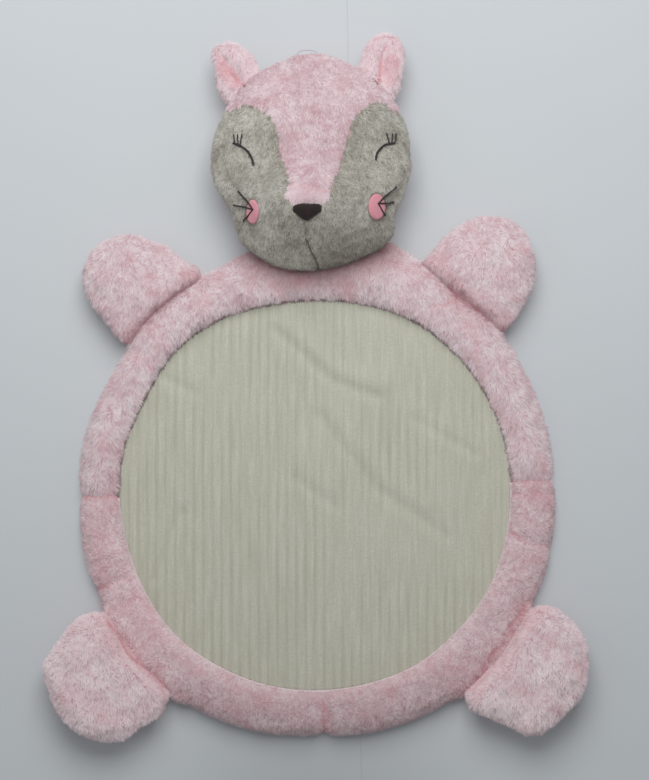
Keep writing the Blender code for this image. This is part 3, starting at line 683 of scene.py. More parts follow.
rim = {
    "voxel": 0.0035, "smoothing": 4, "inset": 0.0032, "lumps": 0.0022,
    "innerReach": 0.236, "innerBack": 0.0034, "innerFade": 0.010, "underPanel": 0.009,
    "pawReach": 0.012, "pawSwell": 0.0065, "pawLift": 0.0030, "swellBelow": 0.034,
    "panelShade": 0.85, "panelShadeWidth": 0.0072, "panelShadeFade": 0.005, "panelShadeBelow": 0.020,
    "chinReach": 0.034, "chinDusk": 0.30, "chinShade": 0.42, "chinFrom": 0.15,
    "footFrom": -0.185, "footFade": 0.05, "footDusk": 0.15,
    "litAngle": 212.0, "litWidth": 20.0, "litShare": 0.13,
    "lean": 1.55, "unruly": 0.85, "bands": (
        {"name": "rimUpperPile", "from": 4.5, "to": 180.0, "length": 0.0080, "density": 1.02e6,
         "material": pinkPlush, "comb": (0.0, -0.85, -1.1)},
        {"name": "rimLowerLeftPile", "from": 180.0, "to": 271.7, "length": 0.0052, "density": 1.1e6,
         "material": bandPlush, "comb": (0.0, -0.3, -1.1)},
        {"name": "rimLowerRightPile", "from": 271.7, "to": 364.5, "length": 0.0052, "density": 1.1e6,
         "material": bandPlush, "comb": (0.0, -0.3, -1.1)},
    ),
}
rimNodes = ("rim_upper", "rim_lower_left", "rim_lower_right")
pawNodes = ("paw_front_left", "paw_front_right", "paw_hind_left", "paw_hind_right")
headNodes = ("head_back", "head_crown", "head_cheek_left", "head_cheek_right", "muzzle_top")
earNodes = ("ear_left", "ear_left_inner", "ear_right", "ear_right_inner")

pawSolids = nodeTree(pawNodes)
headSolids = nodeTree(headNodes)
panelSolid = nodeTree(("centre_panel",))


def towardsFoot(outward):
    return max(-outward.y, 0.0) ** 1.5


def rimShape(place):
    # The outer side swells out to its seam with a paw; the lower inner side stands back from the panel
    reach = math.hypot(place.x, place.y)
    outward = Vector((place.x, place.y, 0.0)) / reach
    if reach < rim["innerReach"]:
        back = towardsFoot(outward) * min((rim["innerReach"] - reach) / rim["innerFade"], 1.0)
        return place + outward * (rim["innerBack"] * back)
    found = pawSolids.find_nearest(place, rim["pawReach"])
    if found[0] is None or place.z > rim["swellBelow"]:
        return place
    share = 1.0 - found[3] / rim["pawReach"]
    return place + outward * (rim["pawSwell"] * share) + Vector((0.0, 0.0, rim["pawLift"] * share))


def panelReach(angle):
    # How far the panel's edge is from the middle, read from its solid
    way = Vector((math.cos(angle), math.sin(angle), 0.0))
    found = panelSolid.ray_cast(way * 0.4 + Vector((0.0, 0.0, 0.006)), -way)[0]
    return math.hypot(found.x, found.y) + rim["innerBack"] * towardsFoot(way)


def shadeRim(body):
    # Painted shade inside the upper band, where its pile hangs over the panel, under the chin and at the
    # foot, and a little painted light at the lower left
    dusks = body.data.attributes["paintedLightAndShade"].data
    shades = body.data.attributes["creaseShade"].data
    upper = rim["bands"][0]
    for vertex, dusk, shade in zip(body.data.vertices, dusks, shades):
        place = vertex.co
        turn = math.atan2(place.y, place.x)
        angle = math.degrees(turn) % 360.0
        inside = panelReach(turn) + rim["panelShadeWidth"] - math.hypot(place.x, place.y)
        deepest = dusk.value
        if upper["from"] < angle < upper["to"] and place.z < rim["panelShadeBelow"] and inside > 0.0:
            deepest = max(deepest, min(inside / rim["panelShadeFade"], 1.0) * rim["panelShade"])
        apart = headSolids.find_nearest(place, rim["chinReach"])[3]
        if apart is not None and place.y > rim["chinFrom"]:
            near = 1.0 - apart / rim["chinReach"]
            deepest = max(deepest, rim["chinDusk"] * near)
            shade.value = max(shade.value, rim["chinShade"] * near)
        low = clamped((rim["footFrom"] - place.y) / rim["footFade"])
        lighter = rim["litShare"] * bell(angle - rim["litAngle"], rim["litWidth"])
        dusk.value = max(deepest, rim["footDusk"] * low) - lighter


rimBody = stuffedBody("rimBody", rimNodes, rim, rimShape)
shadeRim(rimBody)
for band in rim["bands"]:
    def inBand(centre, normal, band=band):
        angle = math.degrees(math.atan2(centre.y, centre.x)) % 360.0
        angle += 360.0 if angle < band["from"] and band["to"] > 360.0 else 0.0
        underPanel = centre.z < rim["underPanel"] and math.hypot(centre.x, centre.y) < rim["innerReach"]
        return band["from"] <= angle < band["to"] and not underPanel
    grown(band["name"], skinPatch(rimBody, inBand, headSolids), band["material"], "pink_plush",
          Density=band["density"], Length=band["length"], Lean=rim["lean"], Unruly=rim["unruly"],
          Comb=band["comb"])
finished(rimBody, "pink_plush", *rimNodes)
print("rim done")

# Paws

paws = {
    "voxel": 0.0032, "smoothing": 5, "inset": 0.0032, "lumps": 0.0022,
    "corners": (((180.0, 702.0), (-0.014, 0.003)), ((462.0, 696.0), (0.005, 0.001))), "cornerWidth": 0.020,
    "tuckFrom": 0.010, "tuckWidth": 0.011, "seamLevel": 0.018,
    "seamShade": 0.42, "seamShadeWidth": 0.024, "bareUnder": -0.004,
    "pile": {"Density": 1.05e6, "Length": 0.0064, "Lean": 1.5, "Unruly": 0.8},
    "names": {"paw_front_left": "frontLeftPaw", "paw_front_right": "frontRightPaw",
              "paw_hind_left": "hindLeftPaw", "paw_hind_right": "hindRightPaw"},
}
rimSolids = nodeTree(rimNodes)
rimReach = []
for degree in range(360):
    outward = Vector((math.cos(math.radians(degree)), math.sin(math.radians(degree)), 0.0))
    found = rimSolids.ray_cast(outward * 0.6 + Vector((0.0, 0.0, 0.013)), -outward)[0]
    rimReach.append(math.hypot(found.x, found.y))


def pastRim(place):
    degree = math.degrees(math.atan2(place.y, place.x)) % 360.0
    low = int(degree) % 360
    edge = rimReach[low] + (degree - int(degree)) * (rimReach[(low + 1) % 360] - rimReach[low])
    return math.hypot(place.x, place.y) - edge


def tuckedUnderRim(place):
    # A paw dips down to the rim's outer edge, where it is sewn under it; the hind paws' corners are drawn in
    for pixel, shift in paws["corners"]:
        near = nearSpot(place, pixel, paws["cornerWidth"])
        place = place + Vector((shift[0] * near, shift[1] * near, 0.0))
    share = clamped((paws["tuckFrom"] - pastRim(place)) / paws["tuckWidth"])
    share = share * share * (3.0 - 2.0 * share)
    level = place.z + share * (min(place.z, paws["seamLevel"]) - place.z)
    return Vector((place.x, place.y, level))


for nodeName, pieceName in paws["names"].items():
    body = stuffedBody(pieceName, (nodeName,), paws, tuckedUnderRim)
    hind = "hind" in pieceName
    seamShade = 0.5 * paws["seamShade"] if hind else paws["seamShade"]
    for vertex, shade in zip(body.data.vertices, body.data.attributes["creaseShade"].data):
        near = clamped(1.0 - pastRim(vertex.co) / paws["seamShadeWidth"])    # painted shade, rosier towards the seam where the paw dips under the rim
        shade.value = max(shade.value, seamShade * near)
    patch = skinPatch(body, lambda centre, normal: pastRim(centre) > paws["bareUnder"], lowest=-0.6)
    grown(pieceName + "Pile", patch, paintedLightPawPlush if hind else pinkPlush, "pink_plush", **paws["pile"])
    finished(body, "pink_plush", nodeName)
print("paws done")

# Head

head = {
    "voxel": 0.0026, "smoothing": 9, "inset": 0.0026, "lumps": 0.0016,
    "gathers": (((230.0, 213.0), 0.0065), ((401.0, 213.0), -0.0110), ((413.0, 190.0), -0.0030)),
    "gatherWidth": 0.019, "wrapAbove": 0.022, "lean": 1.6,
    "blazeShift": (0.0030, 0.0008), "blazeMiddle": -0.008, "blazeHalf": 0.05, "blazeTop": 112.0,
    "blazeFade": 0.015, "bridge": 312.0,
    "noseAt": 307.0, "noseHalf": 20.0, "greyFrom": 208.0, "greyDip": 10.0, "greyBeside": 1.12,
    "brow": (240.0, 126.0), "browWidth": 0.024, "browLight": 0.24,
    "chinFrom": 212.0, "chinReach": 0.060, "chinLeft": -0.030, "chinShades": (0.20, 0.50),
}
headPiles = (    # piece, node, material, slot, length, density and unruliness
    ("crownPile", "head_crown", crownPlush, "pink_plush", 0.0064, 1.3e6, 0.9),
    ("sidePile", "head_back", pinkPlush, "pink_plush", 0.0060, 0.8e6, 0.6),
    ("leftCheekPile", "head_cheek_left", greyPlush, "grey_plush", 0.0048, 1.65e6, 0.6),
    ("rightCheekPile", "head_cheek_right", greyPlush, "grey_plush", 0.0048, 1.65e6, 0.6),
    ("muzzlePile", "muzzle_top", palePlush, "pale_plush", 0.0040, 2.2e6, 0.5),
)


def headShape(place):
    # The jaw is drawn in at both sides, where the cheeks are gathered
    for pixel, inward in head["gathers"]:
        place = place + Vector((inward * nearSpot(place, pixel, head["gatherWidth"]), 0.0, 0.0))
    return place


headBody = stuffedBody("headBody", headNodes, head, headShape)
nodeTrees = {name: nodeTree((name,)) for name in headNodes}


def seenAt(place):
    # Where the camera sees a point, on the level that spot() measures
    reach = (camera["height"] - camera["focusLevel"]) / (camera["height"] - place[2])
    return [middle + (value - middle) * reach for value, middle in zip(place, photoMiddle)]


def nearestNode(place):
    # The sewn piece that a point of the head belongs to; below the nose's top corners the muzzle is grey
    def away(name):
        found = nodeTrees[name].find_nearest(place)
        return found[3] if found[0] is not None else 9.0
    seen = seenAt(place)
    bridge, blazeTop = spot(head["bridge"], head["blazeTop"])
    if abs(place.x - head["blazeMiddle"]) < head["blazeHalf"]:    # grey pile lies over the left seam
        shift = head["blazeShift"][0 if place.x < bridge else 1]
        place = place - Vector((shift * clamped((blazeTop - seen[1]) / head["blazeFade"]), 0.0, 0.0))
    owner = min(headNodes, key=away)
    fromNose = (seen[0] - spot(head["noseAt"], 0)[0]) / (head["noseHalf"] * photo["metresPerPixel"])
    greyFrom = spot(0, head["greyFrom"] - head["greyDip"] * fromNose * fromNose)[1]
    if owner == "muzzle_top" and (seen[1] < greyFrom or abs(fromNose) > head["greyBeside"]):
        owner = "head_cheek_left" if fromNose < 0.0 else "head_cheek_right"
    if owner == "head_back" and place.z > head["wrapAbove"]:    # the face's cloth wraps round the sides
        owner = min(headNodes[1:], key=away)
    return owner


def centreKey(centre):
    return tuple(round(value, 6) for value in centre)


for cloth in (greyCloth, paleCloth):
    headBody.data.materials.append(cloth)
clothOf = {"head_cheek_left": 1, "head_cheek_right": 1, "muzzle_top": 2}
headOwner = {}
for polygon in headBody.data.polygons:
    owner = nearestNode(polygon.center)
    headOwner[centreKey(polygon.center)] = owner
    polygon.material_index = clothOf.get(owner, 0)

# Painted shade on the chin, most at the right, and painted light on the left brow, which stands in more light
browX, browY = spot(*head["brow"])
shades, dusks = (headBody.data.attributes[name].data for name in ("creaseShade", "paintedLightAndShade"))
for vertex, shade, dusk in zip(headBody.data.vertices, shades, dusks):
    below = clamped((spot(0, head["chinFrom"])[1] - vertex.co.y) / head["chinReach"])
    toRight = clamped((vertex.co.x - head["chinLeft"]) / head["chinReach"])
    even, more = head["chinShades"]
    shade.value = max(shade.value, below * (even + more * toRight))
    seen = seenAt(vertex.co)
    dusk.value -= head["browLight"] * bell(math.hypot(seen[0] - browX, seen[1] - browY), head["browWidth"])

headSkin = BVHTree.FromPolygons([v.co for v in headBody.data.vertices],
                                [tuple(p.vertices) for p in headBody.data.polygons])


def onHead(x, y, lift):
    # The point of the face that the photograph shows at (x, y), lifted off the cloth
    eye = Vector((*photoMiddle, camera["height"]))
    found, normal = headSkin.ray_cast(eye, (Vector((x, y, camera["focusLevel"])) - eye).normalized())[:2]
    return found + normal * lift


# Embroidery: short satin stitches across a path, by a second tree

def smoothPath(points, steps=6):
    run = [Vector(p) for p in points]
    run = [run[0] * 2.0 - run[1]] + run + [run[-1] * 2.0 - run[-2]]
    path = []
    for first, second, third, fourth in zip(run, run[1:], run[2:], run[3:]):
        for step in range(steps):
            t = step / steps
            path.append(0.5 * (2.0 * second + (third - first) * t
                               + (2.0 * first - 5.0 * second + 4.0 * third - fourth) * t * t
                               + (3.0 * second - first - 3.0 * third + fourth) * t ** 3))
    return path + [run[-2]]


def betweenRings(rings):
    # The faces from each ring to the next one
    for here, there in zip(rings, rings[1:]):
        for corner in range(len(here)):
            after = (corner + 1) % len(here)
            yield here[corner], here[after], there[after], there[corner]


def stitchObject():
    # One stitch: a six-sided bead drawn out along X
    bm = bmesh.new()
    rings = []
    for across, radius in ((-0.5, 0.25), (-0.32, 0.85), (0.0, 1.0), (0.32, 0.85), (0.5, 0.25)):
        turns = [math.tau * corner / 6 for corner in range(6)]
        rings.append([bm.verts.new((across, 0.5 * radius * math.cos(turn), 0.5 * radius * math.sin(turn)))
                      for turn in turns])
    for quad in betweenRings(rings):
        bm.faces.new(quad)
    bm.faces.new(list(reversed(rings[0])))
    bm.faces.new(rings[-1])
    bmesh.ops.recalc_face_normals(bm, faces=bm.faces)
    return newPiece("stitch", smoothShaded(meshFrom(bm, "stitch")))


def stitchTree(stitch):
    tree, given = newTree("satinStitches", {
        "Spacing": 0.0005, "Width": 0.002, "Thread": 0.0008, "Slant": 0.35})
    line = addNode(tree, "GeometryNodeMeshToCurve", {"Mesh": given["Geometry"]})
    evenly = addNode(tree, "GeometryNodeResampleCurve", {
        "Curve": line.outputs[0], "Length": given["Spacing"]}, mode="LENGTH")
    tangent = addNode(tree, "GeometryNodeInputTangent").outputs[0]
    across = vector(tree, "CROSS_PRODUCT", (0.0, 0.0, 1.0), tangent)
    along = vector(tree, "ADD", across, scaled(tree, tangent, given["Slant"]))
    turned = turnedTo(tree, along, (0.0, 0.0, 1.0), "X", "Z")
    wide = number(tree, "MULTIPLY", given["Width"], chance(tree, 0.85, 1.1, 3))
    size = addNode(tree, "ShaderNodeCombineXYZ", {"X": wide, "Y": given["Thread"], "Z": given["Thread"]})
    stitches = copies(tree, evenly.outputs[0], stitch, turned, size.outputs[0])
    return ended(tree, stitches, given["Material"])


stitch = stitchObject()
satinStitches = stitchTree(stitch)


def sewn(name, paths, work):
    # Stitches along several paths, as one plain mesh
    mesh = bpy.data.meshes.new(name + "Path")
    points, edges = [], []
    for path in paths:
        start = len(points)
        points += path
        edges += [(start + step, start + step + 1) for step in range(len(path) - 1)]
    mesh.from_pydata(points, edges, [])
    values = {"Spacing": work["spacing"], "Width": work["width"], "Thread": work["thread"],
              "Slant": work["slant"], "Material": work["material"]}
    return finished(newPiece(name, runTree(name, mesh, satinStitches, values)), work["slot"])


embroidery = {
    "eyeArcs": {
        "lift": 0.0022, "spacing": 0.00055, "width": 0.0025, "thread": 0.0011, "slant": 0.4,
        "slot": "nose_satin", "material": blackThread, "lines": (
            ((234.0, 143.2), (237.5, 144.5), (241.0, 146.0), (247.5, 150.6), (252.0, 158.3), (254.0, 165.2)),
            ((375.7, 159.8), (376.2, 155.5), (377.6, 152.0), (380.6, 148.3), (385.2, 144.8), (393.6, 143.3)),
        )},
    "eyeLashes": {
        "lift": 0.0022, "spacing": 0.0005, "width": 0.0014, "thread": 0.0011, "slant": 0.4,
        "slot": "nose_satin", "material": blackThread, "lines": (
            ((234.2, 134.8), (234.8, 139.0), (235.6, 143.4)),
            ((238.2, 134.6), (238.2, 138.8), (238.4, 143.8)),
            ((242.4, 134.4), (241.4, 139.5), (240.4, 145.0)),
            ((386.0, 133.6), (387.2, 137.5), (388.8, 143.0)),
            ((391.0, 134.0), (391.2, 138.0), (391.4, 142.6)),
            ((395.4, 133.4), (394.8, 138.0), (394.0, 143.0)),
        )},
    "whiskers": {
        "lift": 0.0023, "spacing": 0.0005, "width": 0.0020, "thread": 0.0010, "slant": 0.4,
        "slot": "nose_satin", "material": blackThread, "lines": (
            ((254.3, 209.5), (249.0, 202.5), (243.7, 196.3), (239.0, 191.5)),
            ((254.3, 209.5), (244.5, 206.6), (234.7, 204.4)),
            ((254.3, 209.5), (249.5, 215.0), (245.0, 221.0)),
            ((377.0, 203.5), (384.0, 196.5), (391.3, 190.0), (395.0, 186.8)),
            ((377.0, 203.5), (385.0, 202.8), (393.0, 202.0)),
            ((377.0, 203.5), (380.5, 209.5), (383.8, 215.5)),
        )},
    "chinSeam": {
        "lift": 0.0024, "spacing": 0.0006, "width": 0.0012, "thread": 0.0010, "slant": 0.9,
        "slot": "grey_plush", "material": seamThread, "lines": (
            ((305.4, 237.5), (308.2, 244.5), (311.2, 251.5), (315.0, 259.0), (318.6, 267.0)),
        )},
}
sunk = 0.0030    # how far a pad's edge goes down into the pile
discs = {"edge": 0.0006, "rise": 0.0016, "rings": 7, "steps": 40, "places": (
    {"name": "leftCheekDisc", "node": "cheek_disc_left", "middle": (252.6, 212.0), "half": (6.8, 13.6)},
    {"name": "rightCheekDisc", "node": "cheek_disc_right", "middle": (376.8, 206.8), "half": (9.2, 14.4)},
)}
nose = {"edge": 0.0022, "rise": 0.0046, "rings": 8, "middle": (307.0, 211.0), "half": (0.0175, 0.0100),
        "outline": (
            (291.2, 206.4), (295.6, 203.8), (303.6, 202.8), (312.0, 202.8), (320.6, 203.8), (322.8, 206.6),
            (321.8, 211.4), (316.4, 214.6), (311.4, 218.2), (306.4, 220.0), (301.4, 218.0), (295.6, 213.8),
            (292.2, 210.6),
        )}
trim = {"shortest": 0.25, "threadWidth": 0.0034, "discFade": 0.35, "underNose": 0.2, "noseFade": 1.6,
        "above": 0.045}
threadRuns = [run for work in embroidery.values() for line in work["lines"]
              for run in zip(spots(line), spots(line[1:]))]


def fromMiddle(x, y, patch):
    middle, half = spot(*patch["middle"]), patch["half"]
    return math.hypot((x - middle[0]) / half[0], (y - middle[1]) / half[1])


def trimmed(place):
    # The pile is cut short round embroidery, and away where a disc or the nose is sewn on
    x, y = seenAt(place)
    share = 1.0
    for start, end in threadRuns:
        if abs(x - start[0]) < 0.03 and abs(y - start[1]) < 0.03:
            beside = min(toSegment(x, y, start, end) / trim["threadWidth"], 1.0)
            share = min(share, trim["shortest"] + (1.0 - trim["shortest"]) * beside)
    for disc in discs["places"]:
        reach = fromMiddle(x, y, disc) / photo["metresPerPixel"]
        share = min(share, max(0.0, (reach - 1.0) / trim["discFade"]))
    fromNose = min(fromMiddle(x, y, nose) * trim["noseFade"] - 1.0, 1.0)
    return min(share, max(trim["underNose"], fromNose))


for vertex, length in zip(headBody.data.vertices, headBody.data.attributes["pileLength"].data):
    if vertex.co.z > trim["above"]:
        length.value *= trimmed(vertex.co)

headNeighbours = nodeTree(rimNodes + earNodes)
for name, node, material, slotName, length, density, unruly in headPiles:
    def onRegion(centre, normal, node=node):
        return headOwner.get(centreKey(centre)) == node
    patch = skinPatch(headBody, onRegion, headNeighbours, 0.0025, lowest=-0.8)
    grown(name, patch, material, slotName, Density=density, Length=length, Lean=head["lean"], Unruly=unruly)
finished(headBody, "pink_plush", *headNodes)
for name, work in embroidery.items():
    lines = [smoothPath([(*spot(*p), 0.0) for p in line]) for line in work["lines"]]
    sewn(name, [[onHead(p.x, p.y, work["lift"]) for p in line] for line in lines], work)


def domedPad(name, outline, middle, sizes, material):
    # A pad of rings from its middle to its outline, with a rounded edge that goes down into the pile
    x0, y0 = middle
    bm = bmesh.new()
    centre = bm.verts.new(onHead(x0, y0, sizes["edge"] + sizes["rise"]))
    rings = []
    for ring in range(1, sizes["rings"] + 1):
        last = ring == sizes["rings"]
        share = ring / sizes["rings"]
        lift = sizes["edge"] + sizes["rise"] * (1.0 - share ** 3.0) - (sunk if last else 0.0)
        share = 1.01 if last else share
        rings.append([bm.verts.new(onHead(x0 + share * (x - x0), y0 + share * (y - y0), lift))
                      for x, y in outline])
    for step, vert in enumerate(rings[0]):
        bm.faces.new((centre, rings[0][(step + 1) % len(outline)], vert))
    for quad in betweenRings(rings):
        bm.faces.new(quad)
    bm.faces.new(rings[-1])    # closed underneath, inside the cloth
    bmesh.ops.recalc_face_normals(bm, faces=bm.faces)
    mesh = meshFrom(bm, name)
    if sum(polygon.normal.z for polygon in mesh.polygons) < 0.0:
        mesh.flip_normals()
    return newPiece(name, smoothShaded(mesh), material)


noseLine = [(p.x, p.y) for p in smoothPath(
    [(*spot(*p), 0.0) for p in nose["outline"] + nose["outline"][:1]], 5)][:-1]
nosePad = domedPad("nosePad", noseLine, spot(*nose["middle"]), nose, noseSatin)
finished(nosePad, "nose_satin", "nose")

for disc in discs["places"]:
    (px, py), (wide, tall) = disc["middle"], disc["half"]
    turns = [math.tau * step / discs["steps"] for step in range(discs["steps"])]
    circle = [spot(px + wide * math.cos(turn), py + tall * math.sin(turn)) for turn in turns]
    pad = domedPad(disc["name"], circle, spot(px, py), discs, pinkSatin)
    finished(pad, "pink_satin", disc["node"])

hangLoop = {    # a thin cord sewn in at the head's top
    "spacing": 0.0007, "width": 0.0011, "thread": 0.0011, "slant": 1.6, "slot": "pale_plush",
    "material": loopThread, "line": (
        (296.4, 57.5), (298.4, 52.6), (302.0, 50.8), (307.0, 50.1), (312.0, 50.5), (316.4, 52.4),
        (318.4, 57.5),
    ),
}
loopPath = smoothPath([(*spot(*p), camera["focusLevel"]) for p in hangLoop["line"]], 8)
sewn("hangLoop", [loopPath], hangLoop)
print("head done")

# Ears

ears = {
    "voxel": 0.0024, "smoothing": 4, "inset": 0.0046, "lumps": 0.0010,
    "tipFrom": 72.0, "cornerWidth": 0.011, "innerReach": 0.0040, "clear": 0.002,
    "outerPile": {"Density": 1.4e6, "Length": 0.0056, "Lean": 1.5, "Unruly": 0.5},
    "innerPile": {"Density": 1.8e6, "Length": 0.0034, "Lean": 1.3, "Unruly": 0.5},
    "pairs": (
        {"name": "leftEar", "outer": "ear_left", "inner": "ear_left_inner", "lowered": 0.14,
         "corner": (213.0, 54.0), "lifted": 0.0065},
        {"name": "rightEar", "outer": "ear_right", "inner": "ear_right_inner", "lowered": 0.06,
         "corner": (404.0, 52.0), "lifted": 0.0},
    ),
}
for ear in ears["pairs"]:
    def earShape(place, ear=ear):
        above = max(place.y - spot(0, ears["tipFrom"])[1], 0.0)
        lifted = ear["lifted"] * nearSpot(place, ear["corner"], ears["cornerWidth"])
        return Vector((place.x, place.y - ear["lowered"] * above + lifted, place.z))

    body = stuffedBody(ear["name"], (ear["outer"], ear["inner"]), ears, earShape)
    innerTree = nodeTree((ear["inner"],))

    def isInner(centre, normal=None, innerTree=innerTree):
        return innerTree.find_nearest(centre, ears["innerReach"])[0] is not None

    body.data.materials.append(innerEarCloth)
    for polygon in body.data.polygons:
        polygon.material_index = 1 if isInner(polygon.center) else 0
    patch = skinPatch(body, lambda centre, normal: not isInner(centre), headSolids, ears["clear"],
                      lowest=-0.8)
    grown(ear["name"] + "Pile", patch, earPlush, "pink_plush", **ears["outerPile"])
    patch = skinPatch(body, isInner, headSolids, ears["clear"])
    grown(ear["name"] + "InnerPile", patch, innerEarPlush, "inner_ear_plush", **ears["innerPile"])
    finished(body, "pink_plush", ear["outer"], ear["inner"])
print("ears done")

# Centre panel

panel = {
    "ribs": 42, "columnsPerRib": 8, "rows": 96, "edgeSteps": 180, "top": 0.0122, "under": 0.0006,
    "grooveDepth": 0.0009, "grooveWidth": 0.28, "unevenness": 0.0010, "nap": (260.0, 16.0, 0.0),
    "overlap": 0.0012, "sideGap": 0.0008, "edgeReach": 0.222, "edgeDrop": 0.0030, "edgeSharpness": 14,
    "folds": (    # rise, width and line
        (-0.0020, 0.0062, ((274, 329), (300, 352), (330, 379), (352, 388), (378, 397))),
        (0.0016, 0.0110, ((282, 322), (308, 345), (338, 371), (380, 384))),
        (-0.0015, 0.0070, ((319, 416), (352, 458), (375, 489), (414, 514), (448, 539))),
        (0.0012, 0.0120, ((328, 409), (362, 450), (385, 480), (424, 504))),
        (-0.0018, 0.0060, ((181, 514), (170, 537), (155, 581))),
        (-0.0015, 0.0060, ((156, 374), (193, 393))),
        (-0.0014, 0.0060, ((296, 480), (336, 508))),
        (-0.0014, 0.0060, ((417, 421), (476, 455))),
    ),
    "sags": ((0.0009, (11.0, 11.0), 4.0), (0.0005, (34.0, 26.0), 9.0)),    # rise, scale and seed
    "worn": ((0.7, (14.0, 9.0), 2.0), (0.5, (90.0, 12.0), 6.0)),    # share, scale and seed
    "strength": (0.62, -1.2, -1.1), "weakest": 0.12,    # at the middle, and to the right and the head
}


def ribTree():
    # Ribs pressed into the fleece
    tree, given = newTree("pressedRibs", {
        "Pitch": 0.0106, "Start": 0.0, "Depth": 0.0015, "Groove": 0.25, "Unevenness": 0.001})
    place = addNode(tree, "GeometryNodeInputPosition").outputs[0]
    across = addNode(tree, "ShaderNodeSeparateXYZ", {0: place}).outputs["X"]
    turn = number(tree, "DIVIDE", number(tree, "SUBTRACT", across, given["Start"]), given["Pitch"])
    aside = number(tree, "ABSOLUTE", number(tree, "SUBTRACT", number(tree, "FRACT", turn), 0.5))
    away = number(tree, "SUBTRACT", 0.5, aside)
    pressed = ranged(tree, away, 0.0, given["Groove"], 1.0, 0.0, "SMOOTHSTEP")
    pressed = number(tree, "MULTIPLY", pressed, read(tree, "ribStrength"))
    napLines = clouds(tree, vector(tree, "MULTIPLY", place, panel["nap"]), 1.0, 1.0)
    uneven = number(tree, "MULTIPLY", number(tree, "SUBTRACT", napLines, 0.5), given["Unevenness"])
    drop = number(tree, "MULTIPLY", number(tree, "MULTIPLY", pressed, given["Depth"]), -1.0)
    down = addNode(tree, "ShaderNodeCombineXYZ", {"Z": number(tree, "ADD", drop, uneven)}).outputs[0]
    shaded = stored(tree, given["Geometry"], "groove", "FLOAT", pressed)
    shaped = addNode(tree, "GeometryNodeSetPosition", {"Geometry": shaded, "Offset": down})
    return ended(tree, real(tree, shaped.outputs[0]), given["Material"])


panelEdge = []
for step in range(panel["edgeSteps"]):
    turn = math.tau * step / panel["edgeSteps"]
    reach = panelReach(turn) + panel["overlap"]
    panelEdge.append((reach * math.cos(turn), reach * math.sin(turn)))
foldRuns = [(rise, width, list(zip(spots(line), spots(line[1:])))) for rise, width, line in panel["folds"]]


def edgeCrossings(x):
    ends = []
    for (x0, y0), (x1, y1) in zip(panelEdge, panelEdge[1:] + panelEdge[:1]):
        if (x0 - x) * (x1 - x) <= 0.0 and x0 != x1:
            ends.append(y0 + (y1 - y0) * (x - x0) / (x1 - x0))
    return min(ends), max(ends)


def drifting(x, y, layers):
    for share, scale, seed in layers:
        yield share * noise.noise(Vector((x * scale[0], y * scale[1], seed)))


def panelTop(x, y):
    level = sum(drifting(x, y, panel["sags"]), panel["top"])
    for rise, width, runs in foldRuns:
        level += rise * bell(min(toSegment(x, y, start, end) for start, end in runs), width)
    edgeShare = min(math.hypot(x, y) / panel["edgeReach"], 1.0)
    return level - panel["edgeDrop"] * edgeShare ** panel["edgeSharpness"]


def ribStrength(x, y):
    middle, toRight, toHead = panel["strength"]
    strength = sum(drifting(x, y, panel["worn"]), middle + toRight * x + toHead * y)
    return min(max(strength, panel["weakest"]), 1.0)


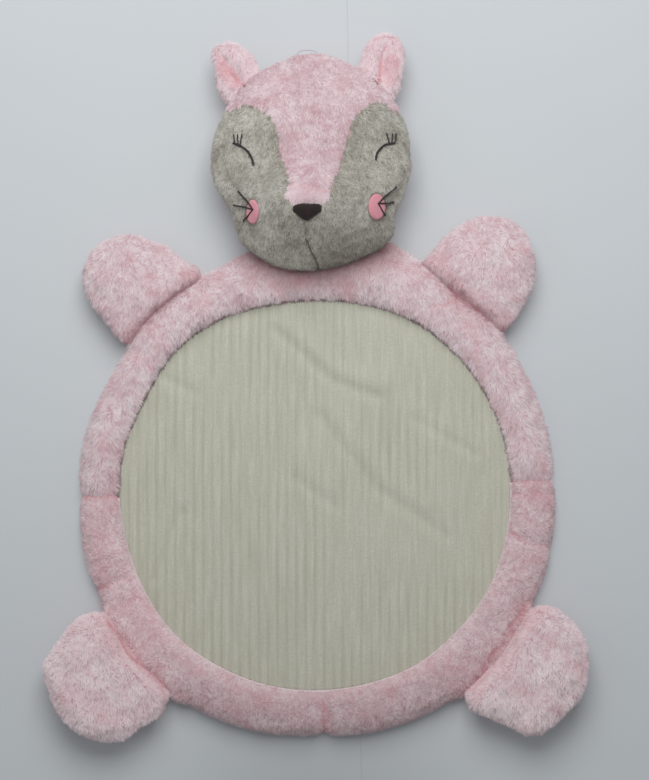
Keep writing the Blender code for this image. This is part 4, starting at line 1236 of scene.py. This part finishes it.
low = min(x for x, y in panelEdge) + panel["sideGap"]
high = max(x for x, y in panelEdge) - panel["sideGap"]
columns = panel["ribs"] * panel["columnsPerRib"]
bm = bmesh.new()
strengthLayer = bm.verts.layers.float.new("ribStrength")
sheetRows = []
for column in range(columns + 1):
    x = low + (high - low) * column / columns
    near, far = edgeCrossings(x)
    line = []
    for row in range(panel["rows"] + 1):
        y = near + (far - near) * row / panel["rows"]
        vert = bm.verts.new((x, y, panelTop(x, y)))
        vert[strengthLayer] = ribStrength(x, y)
        line.append(vert)
    sheetRows.append(line)
for here, there in zip(sheetRows, sheetRows[1:]):
    for row in range(panel["rows"]):
        bm.faces.new((here[row], there[row], there[row + 1], here[row + 1]))
ribbed = runTree("ribbedPanel", meshFrom(bm, "panelTop"), ribTree(), {
    "Pitch": (high - low) / panel["ribs"], "Start": low, "Depth": panel["grooveDepth"],
    "Groove": panel["grooveWidth"], "Unevenness": panel["unevenness"], "Material": ribbedFleece})

# Its edge goes down to the underside, which closes it
bm = bmesh.new()
bm.from_mesh(ribbed)
walls = bmesh.ops.extrude_edge_only(bm, edges=[edge for edge in bm.edges if edge.is_boundary])["geom"]
for item in walls:
    if isinstance(item, bmesh.types.BMVert):
        item.co.z = panel["under"]
bmesh.ops.contextual_create(bm, geom=[item for item in walls if isinstance(item, bmesh.types.BMEdge)
                                      and item.is_boundary])
bmesh.ops.recalc_face_normals(bm, faces=bm.faces)
bm.to_mesh(ribbed)
bm.free()
ribbedPanel = finished(newPiece("ribbedPanel", smoothShaded(ribbed)), "ribbed_fleece", "centre_panel")

# Binding: the pale edge along which the lower bands are sewn to the panel

binding = {"from": 180.5, "to": 364.0, "radius": 0.0019, "out": 0.0010, "up": 0.0008,
           "steps": 160, "sides": 8}
corners = [math.tau * side / binding["sides"] for side in range(binding["sides"])]
bm = bmesh.new()
rings = []
for step in range(binding["steps"] + 1):
    turn = math.radians(binding["from"] + (binding["to"] - binding["from"]) * step / binding["steps"])
    way = Vector((math.cos(turn), math.sin(turn), 0.0))
    middle = way * (panelReach(turn) + binding["out"])
    middle.z = panelTop(middle.x, middle.y) + binding["up"]
    offsets = [way * math.cos(corner) + Vector((0.0, 0.0, math.sin(corner))) for corner in corners]
    rings.append([bm.verts.new(middle + binding["radius"] * offset) for offset in offsets])
for quad in betweenRings(rings):
    bm.faces.new(quad)
bm.faces.new(rings[0])
bm.faces.new(list(reversed(rings[-1])))
bmesh.ops.recalc_face_normals(bm, faces=bm.faces)
finished(newPiece("panelBinding", smoothShaded(meshFrom(bm, "panelBinding")), bindingCloth), "pale_plush")
print("panel done")

triangles = {item.name: sum(len(face.vertices) - 2 for face in item.data.polygons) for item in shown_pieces()
             if item.type == "MESH"}
print("most triangles in a piece", max(triangles.values()), "in all", sum(triangles.values()))
for helper in (blade, stitch):
    bpy.data.objects.remove(helper)
